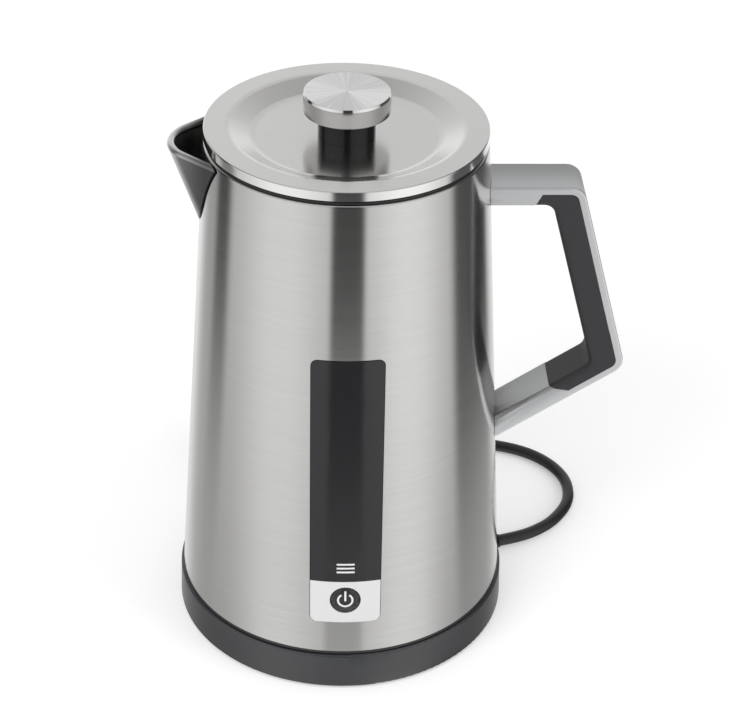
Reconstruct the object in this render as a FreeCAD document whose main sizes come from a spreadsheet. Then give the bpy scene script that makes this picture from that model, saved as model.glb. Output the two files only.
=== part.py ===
import FreeCAD, Part
import math
import os
import re

import Sketcher
from FreeCAD import Placement, Rotation, Vector

# Cordless electric kettle on its power base, in millimetres.
# Origin: on the kettle's axis, at the surface that the base stands on.
# +Z is up, the display faces -Y, the spout points to -X and the handle to +X.

DOC = FreeCAD.newDocument("cordless_kettle")
SHEET = DOC.addObject("Spreadsheet::Sheet", "Sizes")

# Driving dimensions: alias, value, what it is.
SIZES = [
    ("foot_stand", "1.0", "air gap under the power base"),
    ("foot_setback", "1.6", "outer edge of a rubber foot inside the base's edge"),
    ("foot_width", "9.4", "rubber foot from its inner to its outer edge"),
    ("foot_angle", "15.0", "angle that a foot covers, degrees"),
    ("foot_first_angle", "33.0", "where the first foot starts, degrees from +X"),
    ("foot_inlay", "0.8", "depth of a foot in the base plate"),
    ("base_margin", "1.0", "power base's rim beyond the jug's skirt"),
    ("base_flare", "0.5", "power base's lower edge beyond its rim"),
    ("base_top", "18.8", "height of the power base's rim"),
    ("base_wall", "2.2", "wall of the power base"),
    ("base_edge", "1.1", "rounding of the base's outer edges"),
    ("recess_gap", "0.5", "gap around the jug in the base's recess"),
    ("recess_floor", "14.6", "floor of that recess"),
    ("base_plate_thickness", "2.4", "lower cover of the power base"),
    ("base_screw_circle", "48.0", "radius of the base plate's screw circle"),
    ("well_radius", "18.0", "hole in the base for the connector"),
    ("post_radius", "10.5", "lower shaft of the connector post"),
    ("post_neck_radius", "7.2", "upper shaft of the connector post"),
    ("post_shoulder", "20.6", "height where the post narrows"),
    ("post_top", "29.0", "top of the connector post"),
    ("ring_depth", "0.9", "depth of a contact ring in the post"),
    ("ring_width", "2.0", "height of a contact ring"),
    ("running_gap", "0.3", "gap between pieces that move past each other"),
    ("fit_gap", "0.1", "gap between pieces that are assembled"),
    ("jug_rest", "14.9", "underside of the jug when it stands on its base"),
    ("cover_wall", "2.0", "wall of the jug's bottom cover"),
    ("skirt_width", "6.4", "step from the skirt to the part in the recess"),
    ("skirt_bottom", "19.3", "underside of the cover's visible skirt"),
    ("skirt_proud", "0.3", "visible skirt beyond the steel shell"),
    ("spigot_height", "5.4", "ring of the cover inside the shell"),
    ("shell_bottom", "20.6", "lower edge of the steel shell"),
    ("shell_top", "242.7", "upper edge of the steel shell"),
    ("shell_bottom_radius", "75.2", "steel shell at its lower edge"),
    ("shell_top_radius", "61.4", "steel shell at its upper edge"),
    ("shell_wall", "0.8", "steel of the outer shell"),
    ("rim_rounding", "1.2", "rolled edge at the top of the shell"),
    ("pot_wall", "0.6", "steel of the inner pot"),
    ("mouth_space", "5.8", "from the shell's outside to the pot's mouth"),
    ("wall_space", "7.07", "from the shell's outside to the pot at its floor"),
    ("pot_floor", "42.0", "inside floor of the pot"),
    ("pot_corner", "8.0", "rounding between pot floor and wall"),
    ("pot_lip", "3.8", "flange of the pot under the shell's rim"),
    ("probe_radius", "3.2", "temperature probe"),
    ("probe_rise", "6.0", "probe above the pot floor"),
    ("heater_radius", "48.0", "aluminium heating plate"),
    ("heater_thickness", "2.5", "aluminium heating plate"),
    ("element_inset", "10.0", "centre line of the heating tube inside the plate's edge"),
    ("element_radius", "3.6", "heating tube"),
    ("element_angle", "330.0", "angle of the heating tube, degrees"),
    ("terminal_radius", "2.2", "cold end of the heating tube"),
    ("terminal_length", "7.0", "cold end of the heating tube"),
    ("socket_radius", "24.0", "jug half of the connector"),
    ("socket_top", "33.0", "top of the connector socket"),
    ("socket_clearance", "0.7", "gap between post and socket bore"),
    ("heater_gap", "4.6", "heating plate from the stand-offs"),
    ("stud_radius", "3.4", "threaded stand-off under the pot"),
    ("stud_bottom", "24.0", "lower end of a stand-off"),
    ("boss_radius", "5.0", "screw boss in the bottom cover"),
    ("screw_radius", "1.9", "shank of the housing screws"),
    ("screw_head_radius", "3.5", "head of the housing screws"),
    ("screw_head_height", "1.6", "head of the housing screws"),
    ("spout_rim", "242.0", "upper edge of the spout"),
    ("spout_length", "15.3", "tip of the spout beyond the shell's rim"),
    ("spout_tip_radius", "19.5", "rounding of the spout's tip"),
    ("spout_half_angle", "48.0", "half the arc of the tip, degrees"),
    ("spout_lean", "19.6", "lean of the keel, degrees from vertical"),
    ("spout_wall", "1.5", "wall of the spout"),
    ("spout_bead", "1.7", "radius of the rolled pouring rim"),
    ("spout_depth", "46.0", "depth of the spout before it meets the shell"),
    ("spout_seam", "0.2", "joint line between spout and shell"),
    ("port_top", "238.0", "upper edge of the pouring port"),
    ("port_bottom", "219.0", "lower edge of the pouring port"),
    ("port_top_half", "15.0", "half width of the port at its top"),
    ("port_bottom_half", "7.5", "half width of the port at its bottom"),
    ("port_corner", "3.0", "corner radius of the port"),
    ("sleeve_wall", "1.4", "seal between the two port openings"),
    ("filter_margin", "2.6", "filter frame around the port"),
    ("filter_thickness", "1.0", "filter frame"),
    ("slot_width", "1.2", "slot of the filter"),
    ("slot_pitch", "2.6", "spacing of the filter slots"),
    ("panel_half", "15.7", "half width of the display panel"),
    ("panel_top", "170.9", "upper edge of the display panel"),
    ("panel_split", "58.8", "joint between black lens and white plate"),
    ("panel_bottom", "37.0", "lower edge of the white plate"),
    ("panel_corner", "3.0", "corner radius of the panel"),
    ("panel_proud", "0.25", "panel above the steel surface"),
    ("panel_depth", "2.0", "panel below the steel surface"),
    ("panel_gap", "0.25", "joint around the panel"),
    ("frame_margin", "3.0", "panel frame beyond the opening"),
    ("frame_ledge", "2.2", "ledge that carries the panel"),
    ("frame_depth", "1.1", "panel frame behind the panel"),
    ("bar_half", "4.0", "half width of an indicator bar"),
    ("bar_height", "0.9", "height of an indicator bar"),
    ("bar_low", "63.6", "lowest indicator bar"),
    ("bar_pitch", "2.05", "spacing of the indicator bars"),
    ("button_height", "49.0", "centre of the power button"),
    ("button_radius", "6.7", "power button"),
    ("button_gap", "0.25", "gap around the power button"),
    ("button_flange", "1.1", "flange that keeps the button in the plate"),
    ("button_flange_depth", "3.1", "front of that flange behind the shell's surface"),
    ("button_flange_thickness", "0.7", "thickness of that flange"),
    ("button_travel", "0.5", "stroke of the power button"),
    ("board_depth", "5.2", "front of the circuit board behind the shell's surface"),
    ("board_thickness", "1.0", "circuit board"),
    ("board_half", "12.0", "half width of the circuit board"),
    ("board_low", "40.0", "lower edge of the circuit board"),
    ("board_high", "78.0", "upper edge of the circuit board"),
    ("handle_half", "11.55", "half the width of the handle"),
    ("handle_top", "224.2", "top face of the upper arm"),
    ("handle_reach", "102.2", "top outer corner of the handle"),
    ("handle_low_reach", "126.9", "lower outer corner of the handle"),
    ("handle_low", "132.7", "height of that corner"),
    ("arm_slope", "34.16", "slope of the lower arm, degrees"),
    ("arm_thickness", "9.4", "thickness of both arms"),
    ("grip_depth", "14.8", "thickness of the grip"),
    ("handle_band", "3.2", "metal band around the soft grip"),
    ("handle_corner", "7.5", "outer corner radius of the handle"),
    ("band_corner", "4.2", "outer corner radius of the soft grip"),
    ("grip_corner", "5.2", "inner corner radius of the grip"),
    ("handle_edge", "0.8", "rounding of the metal band's edges"),
    ("arm_chamfer", "1.8", "bevel along the inside of the arms"),
    ("grip_rounding", "3.0", "rounding of the soft grip's inside"),
    ("grip_upper_length", "17.8", "soft grip along the upper arm, at the band"),
    ("grip_upper_slant", "3.3", "slant of its end there"),
    ("grip_lower_length", "24.8", "soft grip along the lower arm, at the band"),
    ("grip_lower_slant", "8.9", "slant of its end there"),
    ("handle_seam", "0.15", "joint line between handle and shell"),
    ("upper_screw_drop", "4.7", "upper handle screw below the upper arm's top"),
    ("lower_screw_rise", "4.982", "lower handle screw above the lower arm's underside"),
    ("handle_screw_radius", "2.0", "shank of the handle screws"),
    ("handle_screw_grip", "7.0", "length of a handle screw in its arm"),
    ("bracket_half", "9.0", "half width of a handle bracket"),
    ("bracket_rise", "9.0", "half height of a handle bracket"),
    ("bracket_wall", "1.2", "steel of a handle bracket"),
    ("lid_floor", "244.3", "dished floor of the lid"),
    ("lid_rim", "248.95", "top of the lid's rim"),
    ("lid_bottom", "244.85", "lower edge of the lid's rim band"),
    ("lid_setback", "0.03", "lid's top edge inside the shell's outside"),
    ("lid_flare", "0.37", "lid's top edge beyond the lower edge of its rim band"),
    ("dish_outer", "50.2", "outer edge of the dish"),
    ("dish_inner", "41.9", "flat floor of the dish"),
    ("lid_wall", "0.9", "steel of the lid"),
    ("plug_gap", "2.1", "lid liner inside the pot's mouth"),
    ("plug_bottom", "232.0", "underside of the lid liner"),
    ("liner_wall", "1.6", "plastic of the lid liner"),
    ("gasket_setback", "0.6", "silicone ring inside the lid's rim band"),
    ("gasket_bead", "0.5", "bead around that ring"),
    ("neck_radius", "12.0", "black neck of the knob"),
    ("neck_foot", "0.6", "foot of the neck beyond it"),
    ("knob_bottom", "255.7", "underside of the steel knob"),
    ("knob_top", "264.5", "top face of the knob"),
    ("knob_radius", "18.13", "steel knob"),
    ("knob_bevel_in", "0.4", "polished bevel, inward"),
    ("knob_bevel_down", "1.1", "polished bevel, downward"),
    ("exit_angle", "19.7", "where the cord leaves the base, degrees from +X"),
    ("relief_inside", "15.0", "strain relief inside the power base"),
    ("relief_outside", "7.0", "strain relief outside the power base"),
    ("relief_start_height", "6.0", "axis of the strain relief at its inner end"),
    ("relief_end_height", "3.6", "axis of the strain relief at its outer end"),
    ("relief_start_radius", "4.4", "strain relief at its inner end"),
    ("relief_end_radius", "3.4", "strain relief at its outer end"),
    ("relief_collar", "1.2", "collar that holds the strain relief inside the base"),
    ("cord_diameter", "5.8", "power cord"),
    ("coil_turns", "3", "loops of the put-away cord"),
    ("coil_radius", "29.5", "middle of the loops"),
    ("coil_pitch", "6.3", "spacing of the loops"),
    ("coil_layer", "6.3", "rise from one layer to the next"),
    ("coil_centre_x", "34.0", "centre of the coil"),
    ("coil_front_y", "115.5", "where the cord enters the coil"),
    ("tie_wall", "0.6", "strap around the loops"),
    ("tie_width", "8.0", "strap around the loops"),
    ("tie_slack", "0.4", "room inside the strap"),
    ("plug_entry_x", "-12.0", "where the cord enters the plug"),
    ("plug_axis_height", "16.2", "axis of the plug above the floor"),
    ("plug_head_radius", "18.5", "head of the mains plug"),
    ("plug_flat_half", "16.0", "half the height across the plug's flats"),
    ("plug_neck_radius", "4.6", "sleeve of the plug at the cord"),
    ("plug_neck_length", "16.0", "sleeve of the plug"),
    ("plug_shoulder", "9.0", "length of the plug's shoulder"),
    ("plug_head_length", "17.0", "length of the plug's head"),
    ("pin_radius", "2.4", "plug pin"),
    ("pin_length", "19.0", "plug pin"),
    ("pin_spacing", "19.0", "distance between the pins"),
    ("clip_width", "4.0", "earth contact"),
    ("clip_thickness", "1.0", "earth contact"),
]

# Sizes that follow from the driving ones.
WORKED_OUT = [
    ("skirt_radius", "shell_bottom_radius + skirt_proud"),
    ("cover_radius", "skirt_radius - skirt_width"),
    ("recess_radius", "cover_radius + recess_gap"),
    ("base_top_radius", "skirt_radius + base_margin"),
    ("base_radius", "base_top_radius + base_flare"),
    ("foot_outer_radius", "base_radius - foot_setback"),
    ("foot_inner_radius", "foot_outer_radius - foot_width"),
    ("relief_start", "base_radius - relief_inside"),
    ("relief_end", "base_radius + relief_outside"),
    ("clear_radius", "base_radius + 8"),
    ("shell_taper", "(shell_bottom_radius - shell_top_radius) / (shell_top - shell_bottom)"),
    ("pot_top", "shell_top - shell_wall"),
    ("pot_mouth_radius", "shell_top_radius - mouth_space"),
    ("pot_floor_radius", "shell_top_radius + shell_taper * (shell_top - pot_floor) - wall_space"),
    ("stud_circle", "heater_radius + heater_gap + stud_radius"),
    ("element_circle", "heater_radius - element_inset"),
    ("spout_reach", "shell_top_radius + spout_length"),
    ("button_surface", "shell_top_radius + shell_taper * (shell_top - button_height)"),
    ("button_flange_front", "button_surface - button_flange_depth"),
    ("button_flange_back", "button_flange_front - button_flange_thickness"),
    ("board_front", "button_surface - board_depth"),
    ("lid_radius", "shell_top_radius - lid_setback"),
    ("lid_band_radius", "lid_radius - lid_flare"),
    ("gasket_radius", "lid_band_radius - gasket_setback"),
    ("plug_radius", "pot_mouth_radius - plug_gap"),
    ("grip_upper_start", "handle_reach - grip_upper_length"),
    ("grip_upper_nose", "grip_upper_start - grip_upper_slant"),
    ("grip_lower_start", "handle_low_reach - grip_lower_length"),
    ("grip_lower_nose", "grip_lower_start - grip_lower_slant"),
    ("pot_taper", "(pot_floor_radius - pot_mouth_radius) / (pot_top - pot_floor)"),
    ("heater_bottom", "pot_floor - pot_wall - heater_thickness"),
    ("plate_top", "foot_stand + base_plate_thickness"),
    ("handle_lean", "atan((handle_low_reach - handle_reach) / (handle_top - handle_low))"),
    ("upper_screw", "handle_top - upper_screw_drop"),
    ("lower_screw", "handle_low - (handle_low_reach - shell_bottom_radius) * tan(arm_slope) + lower_screw_rise"),
    ("keel_run", "tan(spout_lean)"),
    ("relief_pitch", "atan((relief_start_height - relief_end_height) / (relief_end - relief_start))"),
    ("relief_length", "(relief_end - relief_start) / cos(relief_pitch)"),
]

for row, (alias, number, meaning) in enumerate(SIZES, start=1):
    SHEET.set(f"A{row}", number)
    SHEET.set(f"B{row}", meaning)
    SHEET.setAlias(f"A{row}", alias)
for row, (alias, text) in enumerate(WORKED_OUT, start=len(SIZES) + 1):
    SHEET.set(f"A{row}", "=" + text)
    SHEET.setAlias(f"A{row}", alias)
DOC.recompute()

ALIASES = {line[0] for line in SIZES + WORKED_OUT}
WORD = re.compile(r"[a-z_]+")


def formula(text):
    """Points every alias in a formula to its cell."""
    return WORD.sub(lambda m: "Sizes." + m.group() if m.group() in ALIASES else m.group(), str(text))


def value(text):
    """The number that a formula gives now."""
    return float(SHEET.evalExpression(formula(text)))


def bind(thing, **properties):
    """Ties properties to the sheet; a double underscore stands for a dot."""
    for name, text in properties.items():
        thing.setExpression(name.replace("__", "."), formula(text))


def shell_radius(height, offset="0"):
    """Outside of the conical shell at a height, plus an offset."""
    return f"(shell_top_radius + shell_taper * (shell_top - ({height})) + ({offset}))"


def pot_radius(height, offset="0"):
    """Inside of the conical pot at a height, plus an offset."""
    return f"(pot_mouth_radius + pot_taper * (pot_top - ({height})) + ({offset}))"


# Sketch helpers

PLANE_TURNS = {
    "XY_Plane": Rotation(),
    "XZ_Plane": Rotation(Vector(1, 0, 0), 90),
    "YZ_Plane": Rotation(Vector(1, 1, 1), 120),
}


def new_body(label):
    body = DOC.addObject("PartDesign::Body", label)
    body.Label = label
    return body


def sketch_in(body, name, role, lift=None):
    """A sketch on one of the body's origin planes, lifted along its normal."""
    sketch = body.newObject("Sketcher::SketchObject", name)
    plane = next(item for item in body.Origin.OriginFeatures if item.Role == role)
    sketch.AttachmentSupport = [(plane, "")]
    sketch.MapMode = "FlatFace"
    if lift is not None:
        sketch.setExpression("AttachmentOffset.Base.z", formula(lift))
    return sketch


def loose_sketch(name, role):
    """A sketch outside any body, for an extrusion."""
    sketch = DOC.addObject("Sketcher::SketchObject", name)
    sketch.Placement = Placement(Vector(), PLANE_TURNS[role])
    return sketch


def pin_point(sketch, geometry, position, across, up):
    """Fixes a point of a sketch at two formulas."""
    for kind, text in (("DistanceX", across), ("DistanceY", up)):
        index = sketch.addConstraint(Sketcher.Constraint(kind, -1, 1, geometry, position, value(text)))
        sketch.setExpression(f"Constraints[{index}]", formula(text))


def rounded_corner(before, corner, after, radius):
    """Tangent points, centre and turn of a rounding between two straight edges."""
    incoming = (corner - before).normalize()
    outgoing = (after - corner).normalize()
    turn = incoming.getAngle(outgoing)
    reach = radius * math.tan(turn / 2)
    side = 1 if incoming.cross(outgoing).z > 0 else -1
    start = corner - incoming * reach
    normal = Vector(-incoming.y, incoming.x, 0) * side
    return start, corner + outgoing * reach, start + normal * radius, side


def outline(sketch, corners):
    """Draws a closed outline of straight edges; a third entry rounds its corner."""
    points = [Vector(value(c[0]), value(c[1]), 0) for c in corners]
    count = len(corners)
    rounds = {}
    for i, corner in enumerate(corners):
        if len(corner) == 3:
            rounds[i] = rounded_corner(points[i - 1], points[i], points[(i + 1) % count], value(corner[2]))
    edges = []
    for i in range(count):
        following = (i + 1) % count
        start = rounds[i][1] if i in rounds else points[i]
        end = rounds[following][0] if following in rounds else points[following]
        edges.append(sketch.addGeometry(Part.LineSegment(start, end), False))
    for i, corner in enumerate(corners):
        before, after = edges[i - 1], edges[i]
        if i not in rounds:
            sketch.addConstraint(Sketcher.Constraint("Coincident", before, 2, after, 1))
            pin_point(sketch, after, 1, corner[0], corner[1])
            continue
        start, end, centre, side = rounds[i]
        first, last = (start, end) if side > 0 else (end, start)
        angles = [math.atan2(p.y - centre.y, p.x - centre.x) for p in (first, last)]
        circle = Part.Circle(centre, Vector(0, 0, 1), value(corner[2]))
        arc = sketch.addGeometry(Part.ArcOfCircle(circle, *angles), False)
        tip = sketch.addGeometry(Part.Point(points[i]), True)
        pin_point(sketch, tip, 1, corner[0], corner[1])
        sketch.addConstraint(Sketcher.Constraint("PointOnObject", tip, 1, before))
        sketch.addConstraint(Sketcher.Constraint("PointOnObject", tip, 1, after))
        sketch.addConstraint(Sketcher.Constraint("Tangent", before, 2, arc, 1 if side > 0 else 2))
        sketch.addConstraint(Sketcher.Constraint("Tangent", after, 1, arc, 2 if side > 0 else 1))
        index = sketch.addConstraint(Sketcher.Constraint("Radius", arc, value(corner[2])))
        sketch.setExpression(f"Constraints[{index}]", formula(corner[2]))
    return sketch


def circle_at(sketch, across, up, radius):
    """Draws a circle whose centre and radius are formulas."""
    centre = Vector(value(across), value(up), 0)
    ring = sketch.addGeometry(Part.Circle(centre, Vector(0, 0, 1), value(radius)), False)
    pin_point(sketch, ring, 3, across, up)
    index = sketch.addConstraint(Sketcher.Constraint("Radius", ring, value(radius)))
    sketch.setExpression(f"Constraints[{index}]", formula(radius))


# Feature helpers

def turn_profile(body, name, outlines, kind="Revolution", angle="360"):
    """Revolves outlines in the XZ plane about the kettle's axis."""
    sketch = sketch_in(body, name + "_profile", "XZ_Plane")
    for corners in outlines:
        outline(sketch, corners)
    feature = body.newObject("PartDesign::" + kind, name)
    feature.Profile = sketch
    feature.ReferenceAxis = (sketch, ["V_Axis"])
    bind(feature, Angle=angle)
    body.Tip = feature
    return feature


def turned(label, *outlines):
    """A sub-part turned about the kettle's axis."""
    body = new_body(label)
    turn_profile(body, label + "_turn", outlines)
    return body


def pad(body, name, sketch, length, midplane=False, reverse=False):
    feature = body.newObject("PartDesign::Pad", name)
    feature.Profile = sketch
    feature.Midplane = midplane
    feature.Reversed = reverse
    bind(feature, Length=length)
    body.Tip = feature
    return feature


def pocket(body, name, sketch, length, reverse=False, midplane=False):
    """Cuts a sketch out of the body and makes sure that it cut something."""
    DOC.recompute()
    before = body.Shape.Volume
    feature = body.newObject("PartDesign::Pocket", name)
    feature.Profile = sketch
    feature.Midplane = midplane
    feature.Reversed = reverse
    bind(feature, Length=length)
    body.Tip = feature
    DOC.recompute()
    if body.Shape.Volume > before - 0.01:
        raise RuntimeError(name + " cuts nothing")
    return feature


def pattern(body, name, features, count):
    """Repeats features of a body around the kettle's axis."""
    axis = next(item for item in body.Origin.OriginFeatures if item.Role == "Z_Axis")
    feature = body.newObject("PartDesign::PolarPattern", name)
    feature.Originals = features
    feature.Axis = (axis, [""])
    feature.Angle = 360
    feature.Occurrences = count
    body.Tip = feature
    return feature


def primitive(kind, name, **properties):
    thing = DOC.addObject("Part::" + kind, name)
    bind(thing, **properties)
    return thing


def cut(name, base, *tools):
    """Takes one or more tools away from a base."""
    tool = tools[0]
    if len(tools) > 1:
        tool = DOC.addObject("Part::MultiFuse", name + "_tools")
        tool.Shapes = list(tools)
    feature = DOC.addObject("Part::Cut", name)
    feature.Base = base
    feature.Tool = tool
    return feature


def common(name, base, tool):
    feature = DOC.addObject("Part::Common", name)
    feature.Base = base
    feature.Tool = tool
    return feature


def group(label, *members):
    feature = DOC.addObject("Part::Compound", label)
    feature.Links = list(members)
    return feature


def prism(name, role, corners, start, length):
    """An outline in a plane, extruded from start along the plane's normal."""
    sketch = loose_sketch(name + "_outline", role)
    outline(sketch, corners)
    feature = DOC.addObject("Part::Extrusion", name)
    feature.Base = sketch
    feature.DirMode = "Normal"
    feature.Solid = True
    bind(feature, LengthFwd=f"({start}) + ({length})", LengthRev=f"-({start})")
    return feature


def cone_skin(name, outside, inside, low, high, radius=shell_radius):
    """The space between two cones that follow a wall, from one height to another."""
    cones = []
    for part, offset in (("outer", outside), ("inner", inside)):
        cones.append(primitive(
            "Cone", f"{name}_{part}", Radius1=radius(low, offset), Radius2=radius(high, offset),
            Height=f"({high}) - ({low})", Placement__Base__z=low))
    return cut(name, *cones)


def rounded_box(half, low, high, corner, margin="0"):
    """Corners of an upright rectangle centred on the vertical axis of a sketch."""
    side, bottom, top = f"{half} + {margin}", f"{low} - {margin}", f"{high} + {margin}"
    return [(f"-({side})", bottom, corner), (side, bottom, corner),
            (side, top, corner), (f"-({side})", top, corner)]


# Power base

def make_base_feet():
    """Rubber pads, part set into the base plate."""
    body = new_body("base_feet")
    step = "base_radius - base_wall - running_gap"
    feature = turn_profile(body, "foot", [[
        ("foot_inner_radius", "0"), ("foot_outer_radius", "0", "0.4"),
        ("foot_outer_radius", "foot_stand"), (step, "foot_stand"),
        (step, "foot_stand + foot_inlay"), ("foot_inner_radius", "foot_stand + foot_inlay")]],
        angle="foot_angle")
    pattern(body, "four_feet", [feature], 4)
    place_first_foot(body)
    return body


def place_first_foot(thing):
    """Turns feet and their inlays to where the feet lie."""
    thing.Placement = Placement(Vector(), Rotation(Vector(0, 0, 1), value("foot_first_angle")))
    bind(thing, Placement__Rotation__Angle="foot_first_angle")


def cord_channel(name, clearance):
    """Space for the strain relief through a wall: a round channel, open below."""
    angle = Rotation(Vector(0, 0, 1), value("exit_angle"))
    start = "(relief_start - relief_collar)"
    side = f"(relief_start_radius + {clearance})"
    tube = primitive("Cylinder", name + "_round", Radius=side, Height="relief_end - relief_start")
    tube.Placement = Placement(Vector(), angle * Rotation(Vector(0, 1, 0), 90))
    bind(tube, Placement__Base__x=f"{start} * cos(exit_angle)",
         Placement__Base__y=f"{start} * sin(exit_angle)",
         Placement__Base__z="relief_start_height - 0.9")
    slot = primitive("Box", name + "_slot", Length="relief_end - relief_start",
                     Width=f"2 * {side}", Height="relief_start_height - 0.9")
    slot.Placement = Placement(Vector(), angle)
    bind(slot, Placement__Base__x=f"{start} * cos(exit_angle) + {side} * sin(exit_angle)",
         Placement__Base__y=f"{start} * sin(exit_angle) - {side} * cos(exit_angle)")
    return tube, slot


def make_base_housing():
    """Upper shell of the power base, with the recess that centres the jug."""
    body = turned("base_housing_shell", [
        ("base_radius", "foot_stand", "base_edge"),
        ("base_top_radius", "base_top", "base_edge"),
        ("recess_radius", "base_top", "0.5"),
        ("recess_radius", "recess_floor", "0.6"),
        ("well_radius", "recess_floor"),
        ("well_radius", "recess_floor - base_wall"),
        ("recess_radius + base_wall", "recess_floor - base_wall"),
        ("recess_radius + base_wall", "base_top - base_wall"),
        ("base_top_radius - base_wall", "base_top - base_wall"),
        ("base_radius - base_wall", "foot_stand")])
    bosses = body.newObject("PartDesign::Pad", "boss")
    sketch = sketch_in(body, "boss_ring", "XY_Plane", "plate_top + fit_gap")
    circle_at(sketch, "base_screw_circle", "0", "boss_radius")
    circle_at(sketch, "base_screw_circle", "0", "screw_radius + fit_gap")
    bosses.Profile = sketch
    bind(bosses, Length="recess_floor - base_wall - plate_top - fit_gap")
    body.Tip = bosses
    pattern(body, "three_bosses", [bosses], 3)
    return cut("base_housing", body, *cord_channel("housing_channel", "fit_gap"))


def make_base_plate():
    """Flat lower cover, with inlays for the feet and holes for its screws."""
    disc = turned("base_plate_disc", [
        ("0", "foot_stand"), ("base_radius - base_wall - running_gap", "foot_stand"),
        ("base_radius - base_wall - running_gap", "plate_top"), ("0", "plate_top")])
    holes = sketch_in(disc, "plate_hole", "XY_Plane")
    circle_at(holes, "base_screw_circle", "0", "screw_radius + fit_gap")
    hole = pocket(disc, "screw_hole", holes, "plate_top + 1", reverse=True)
    wells = sketch_in(disc, "plate_well", "XY_Plane")
    circle_at(wells, "base_screw_circle", "0", "screw_head_radius + running_gap")
    well = pocket(disc, "screw_well", wells, "foot_stand + screw_head_height + 0.1", reverse=True)
    pattern(disc, "three_holes", [hole, well], 3)
    inlay = new_body("foot_inlay_space")
    feature = turn_profile(inlay, "inlay", [[
        ("foot_inner_radius - fit_gap", "0"), ("base_radius", "0"),
        ("base_radius", "foot_stand + foot_inlay"),
        ("foot_inner_radius - fit_gap", "foot_stand + foot_inlay")]], angle="foot_angle + 0.4")
    pattern(inlay, "four_inlays", [feature], 4)
    place_first_foot(inlay)
    return cut("base_plate", disc, inlay, *cord_channel("plate_channel", "relief_collar + fit_gap"))


def screw_set(label, circle, head_low, shank_top, count, first_angle="0"):
    """Upright screws on a circle, with their heads below, drawn from one profile."""
    body = new_body(label)
    ring = sketch_in(body, label + "_head", "XY_Plane", head_low)
    circle_at(ring, circle, "0", "screw_head_radius")
    head = pad(body, label + "_heads", ring, "screw_head_height")
    core = sketch_in(body, label + "_shank", "XY_Plane", f"{head_low} + screw_head_height")
    circle_at(core, circle, "0", "screw_radius")
    shank = pad(body, label + "_shanks", core, f"{shank_top} - ({head_low}) - screw_head_height")
    recess = sketch_in(body, label + "_drive", "XY_Plane", head_low)
    outline(recess, [(f"{circle} - 1.5", "-0.4"), (f"{circle} + 1.5", "-0.4"),
                     (f"{circle} + 1.5", "0.4"), (f"{circle} - 1.5", "0.4")])
    drive = pocket(body, label + "_slot", recess, "screw_head_height / 2", reverse=True)
    pattern(body, label + "_set", [head, shank, drive], count)
    return body


def make_base_screws():
    """Screws that hold the base plate, sunk flush into it."""
    return screw_set("base_screws", "base_screw_circle", "foot_stand + 0.05", "recess_floor - base_wall - 1", 3)


def make_connector_base():
    """Fixed half of the power connector, clamped under the recess floor."""
    return turned("connector_base", [
        ("0", "plate_top + running_gap"), ("well_radius - fit_gap", "plate_top + running_gap"),
        ("well_radius - fit_gap", "recess_floor - base_wall - 2"),
        ("well_radius + 3", "recess_floor - base_wall - 2"),
        ("well_radius + 3", "recess_floor - base_wall"),
        ("well_radius - fit_gap", "recess_floor - base_wall"),
        ("well_radius - fit_gap", "recess_floor + 0.1", "0.5"),
        ("post_radius + running_gap", "recess_floor + 0.1"),
        ("post_radius + running_gap", "plate_top + 4"), ("0", "plate_top + 4")])


def ring_outline(radius, low):
    """Section of a contact ring that lies flush in the post."""
    return [(f"{radius} - ring_depth", low), (radius, low),
            (radius, f"{low} + ring_width"), (f"{radius} - ring_depth", f"{low} + ring_width")]


LOWER_RING = "post_shoulder - ring_width - 1.2"
UPPER_RING = "post_shoulder + 2.4"


def make_connector_post():
    """Round post that the jug turns on, with a groove for each contact ring."""
    return turned("connector_post", [
        ("0", "plate_top + 4 + running_gap"), ("post_radius", "plate_top + 4 + running_gap"),
        ("post_radius", LOWER_RING), (f"post_radius - ring_depth", LOWER_RING),
        ("post_radius - ring_depth", LOWER_RING + " + ring_width"),
        ("post_radius", LOWER_RING + " + ring_width"),
        ("post_radius", "post_shoulder", "0.5"), ("post_neck_radius", "post_shoulder"),
        ("post_neck_radius", UPPER_RING), ("post_neck_radius - ring_depth", UPPER_RING),
        ("post_neck_radius - ring_depth", UPPER_RING + " + ring_width"),
        ("post_neck_radius", UPPER_RING + " + ring_width"),
        ("post_neck_radius", "post_top", "2.0"), ("0", "post_top")])


def make_contact_rings():
    """Brass rings of the post, live and neutral."""
    return turned("contact_rings", ring_outline("post_radius", LOWER_RING),
                  ring_outline("post_neck_radius", UPPER_RING))


# Jug: bottom cover, connector and heater

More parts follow.
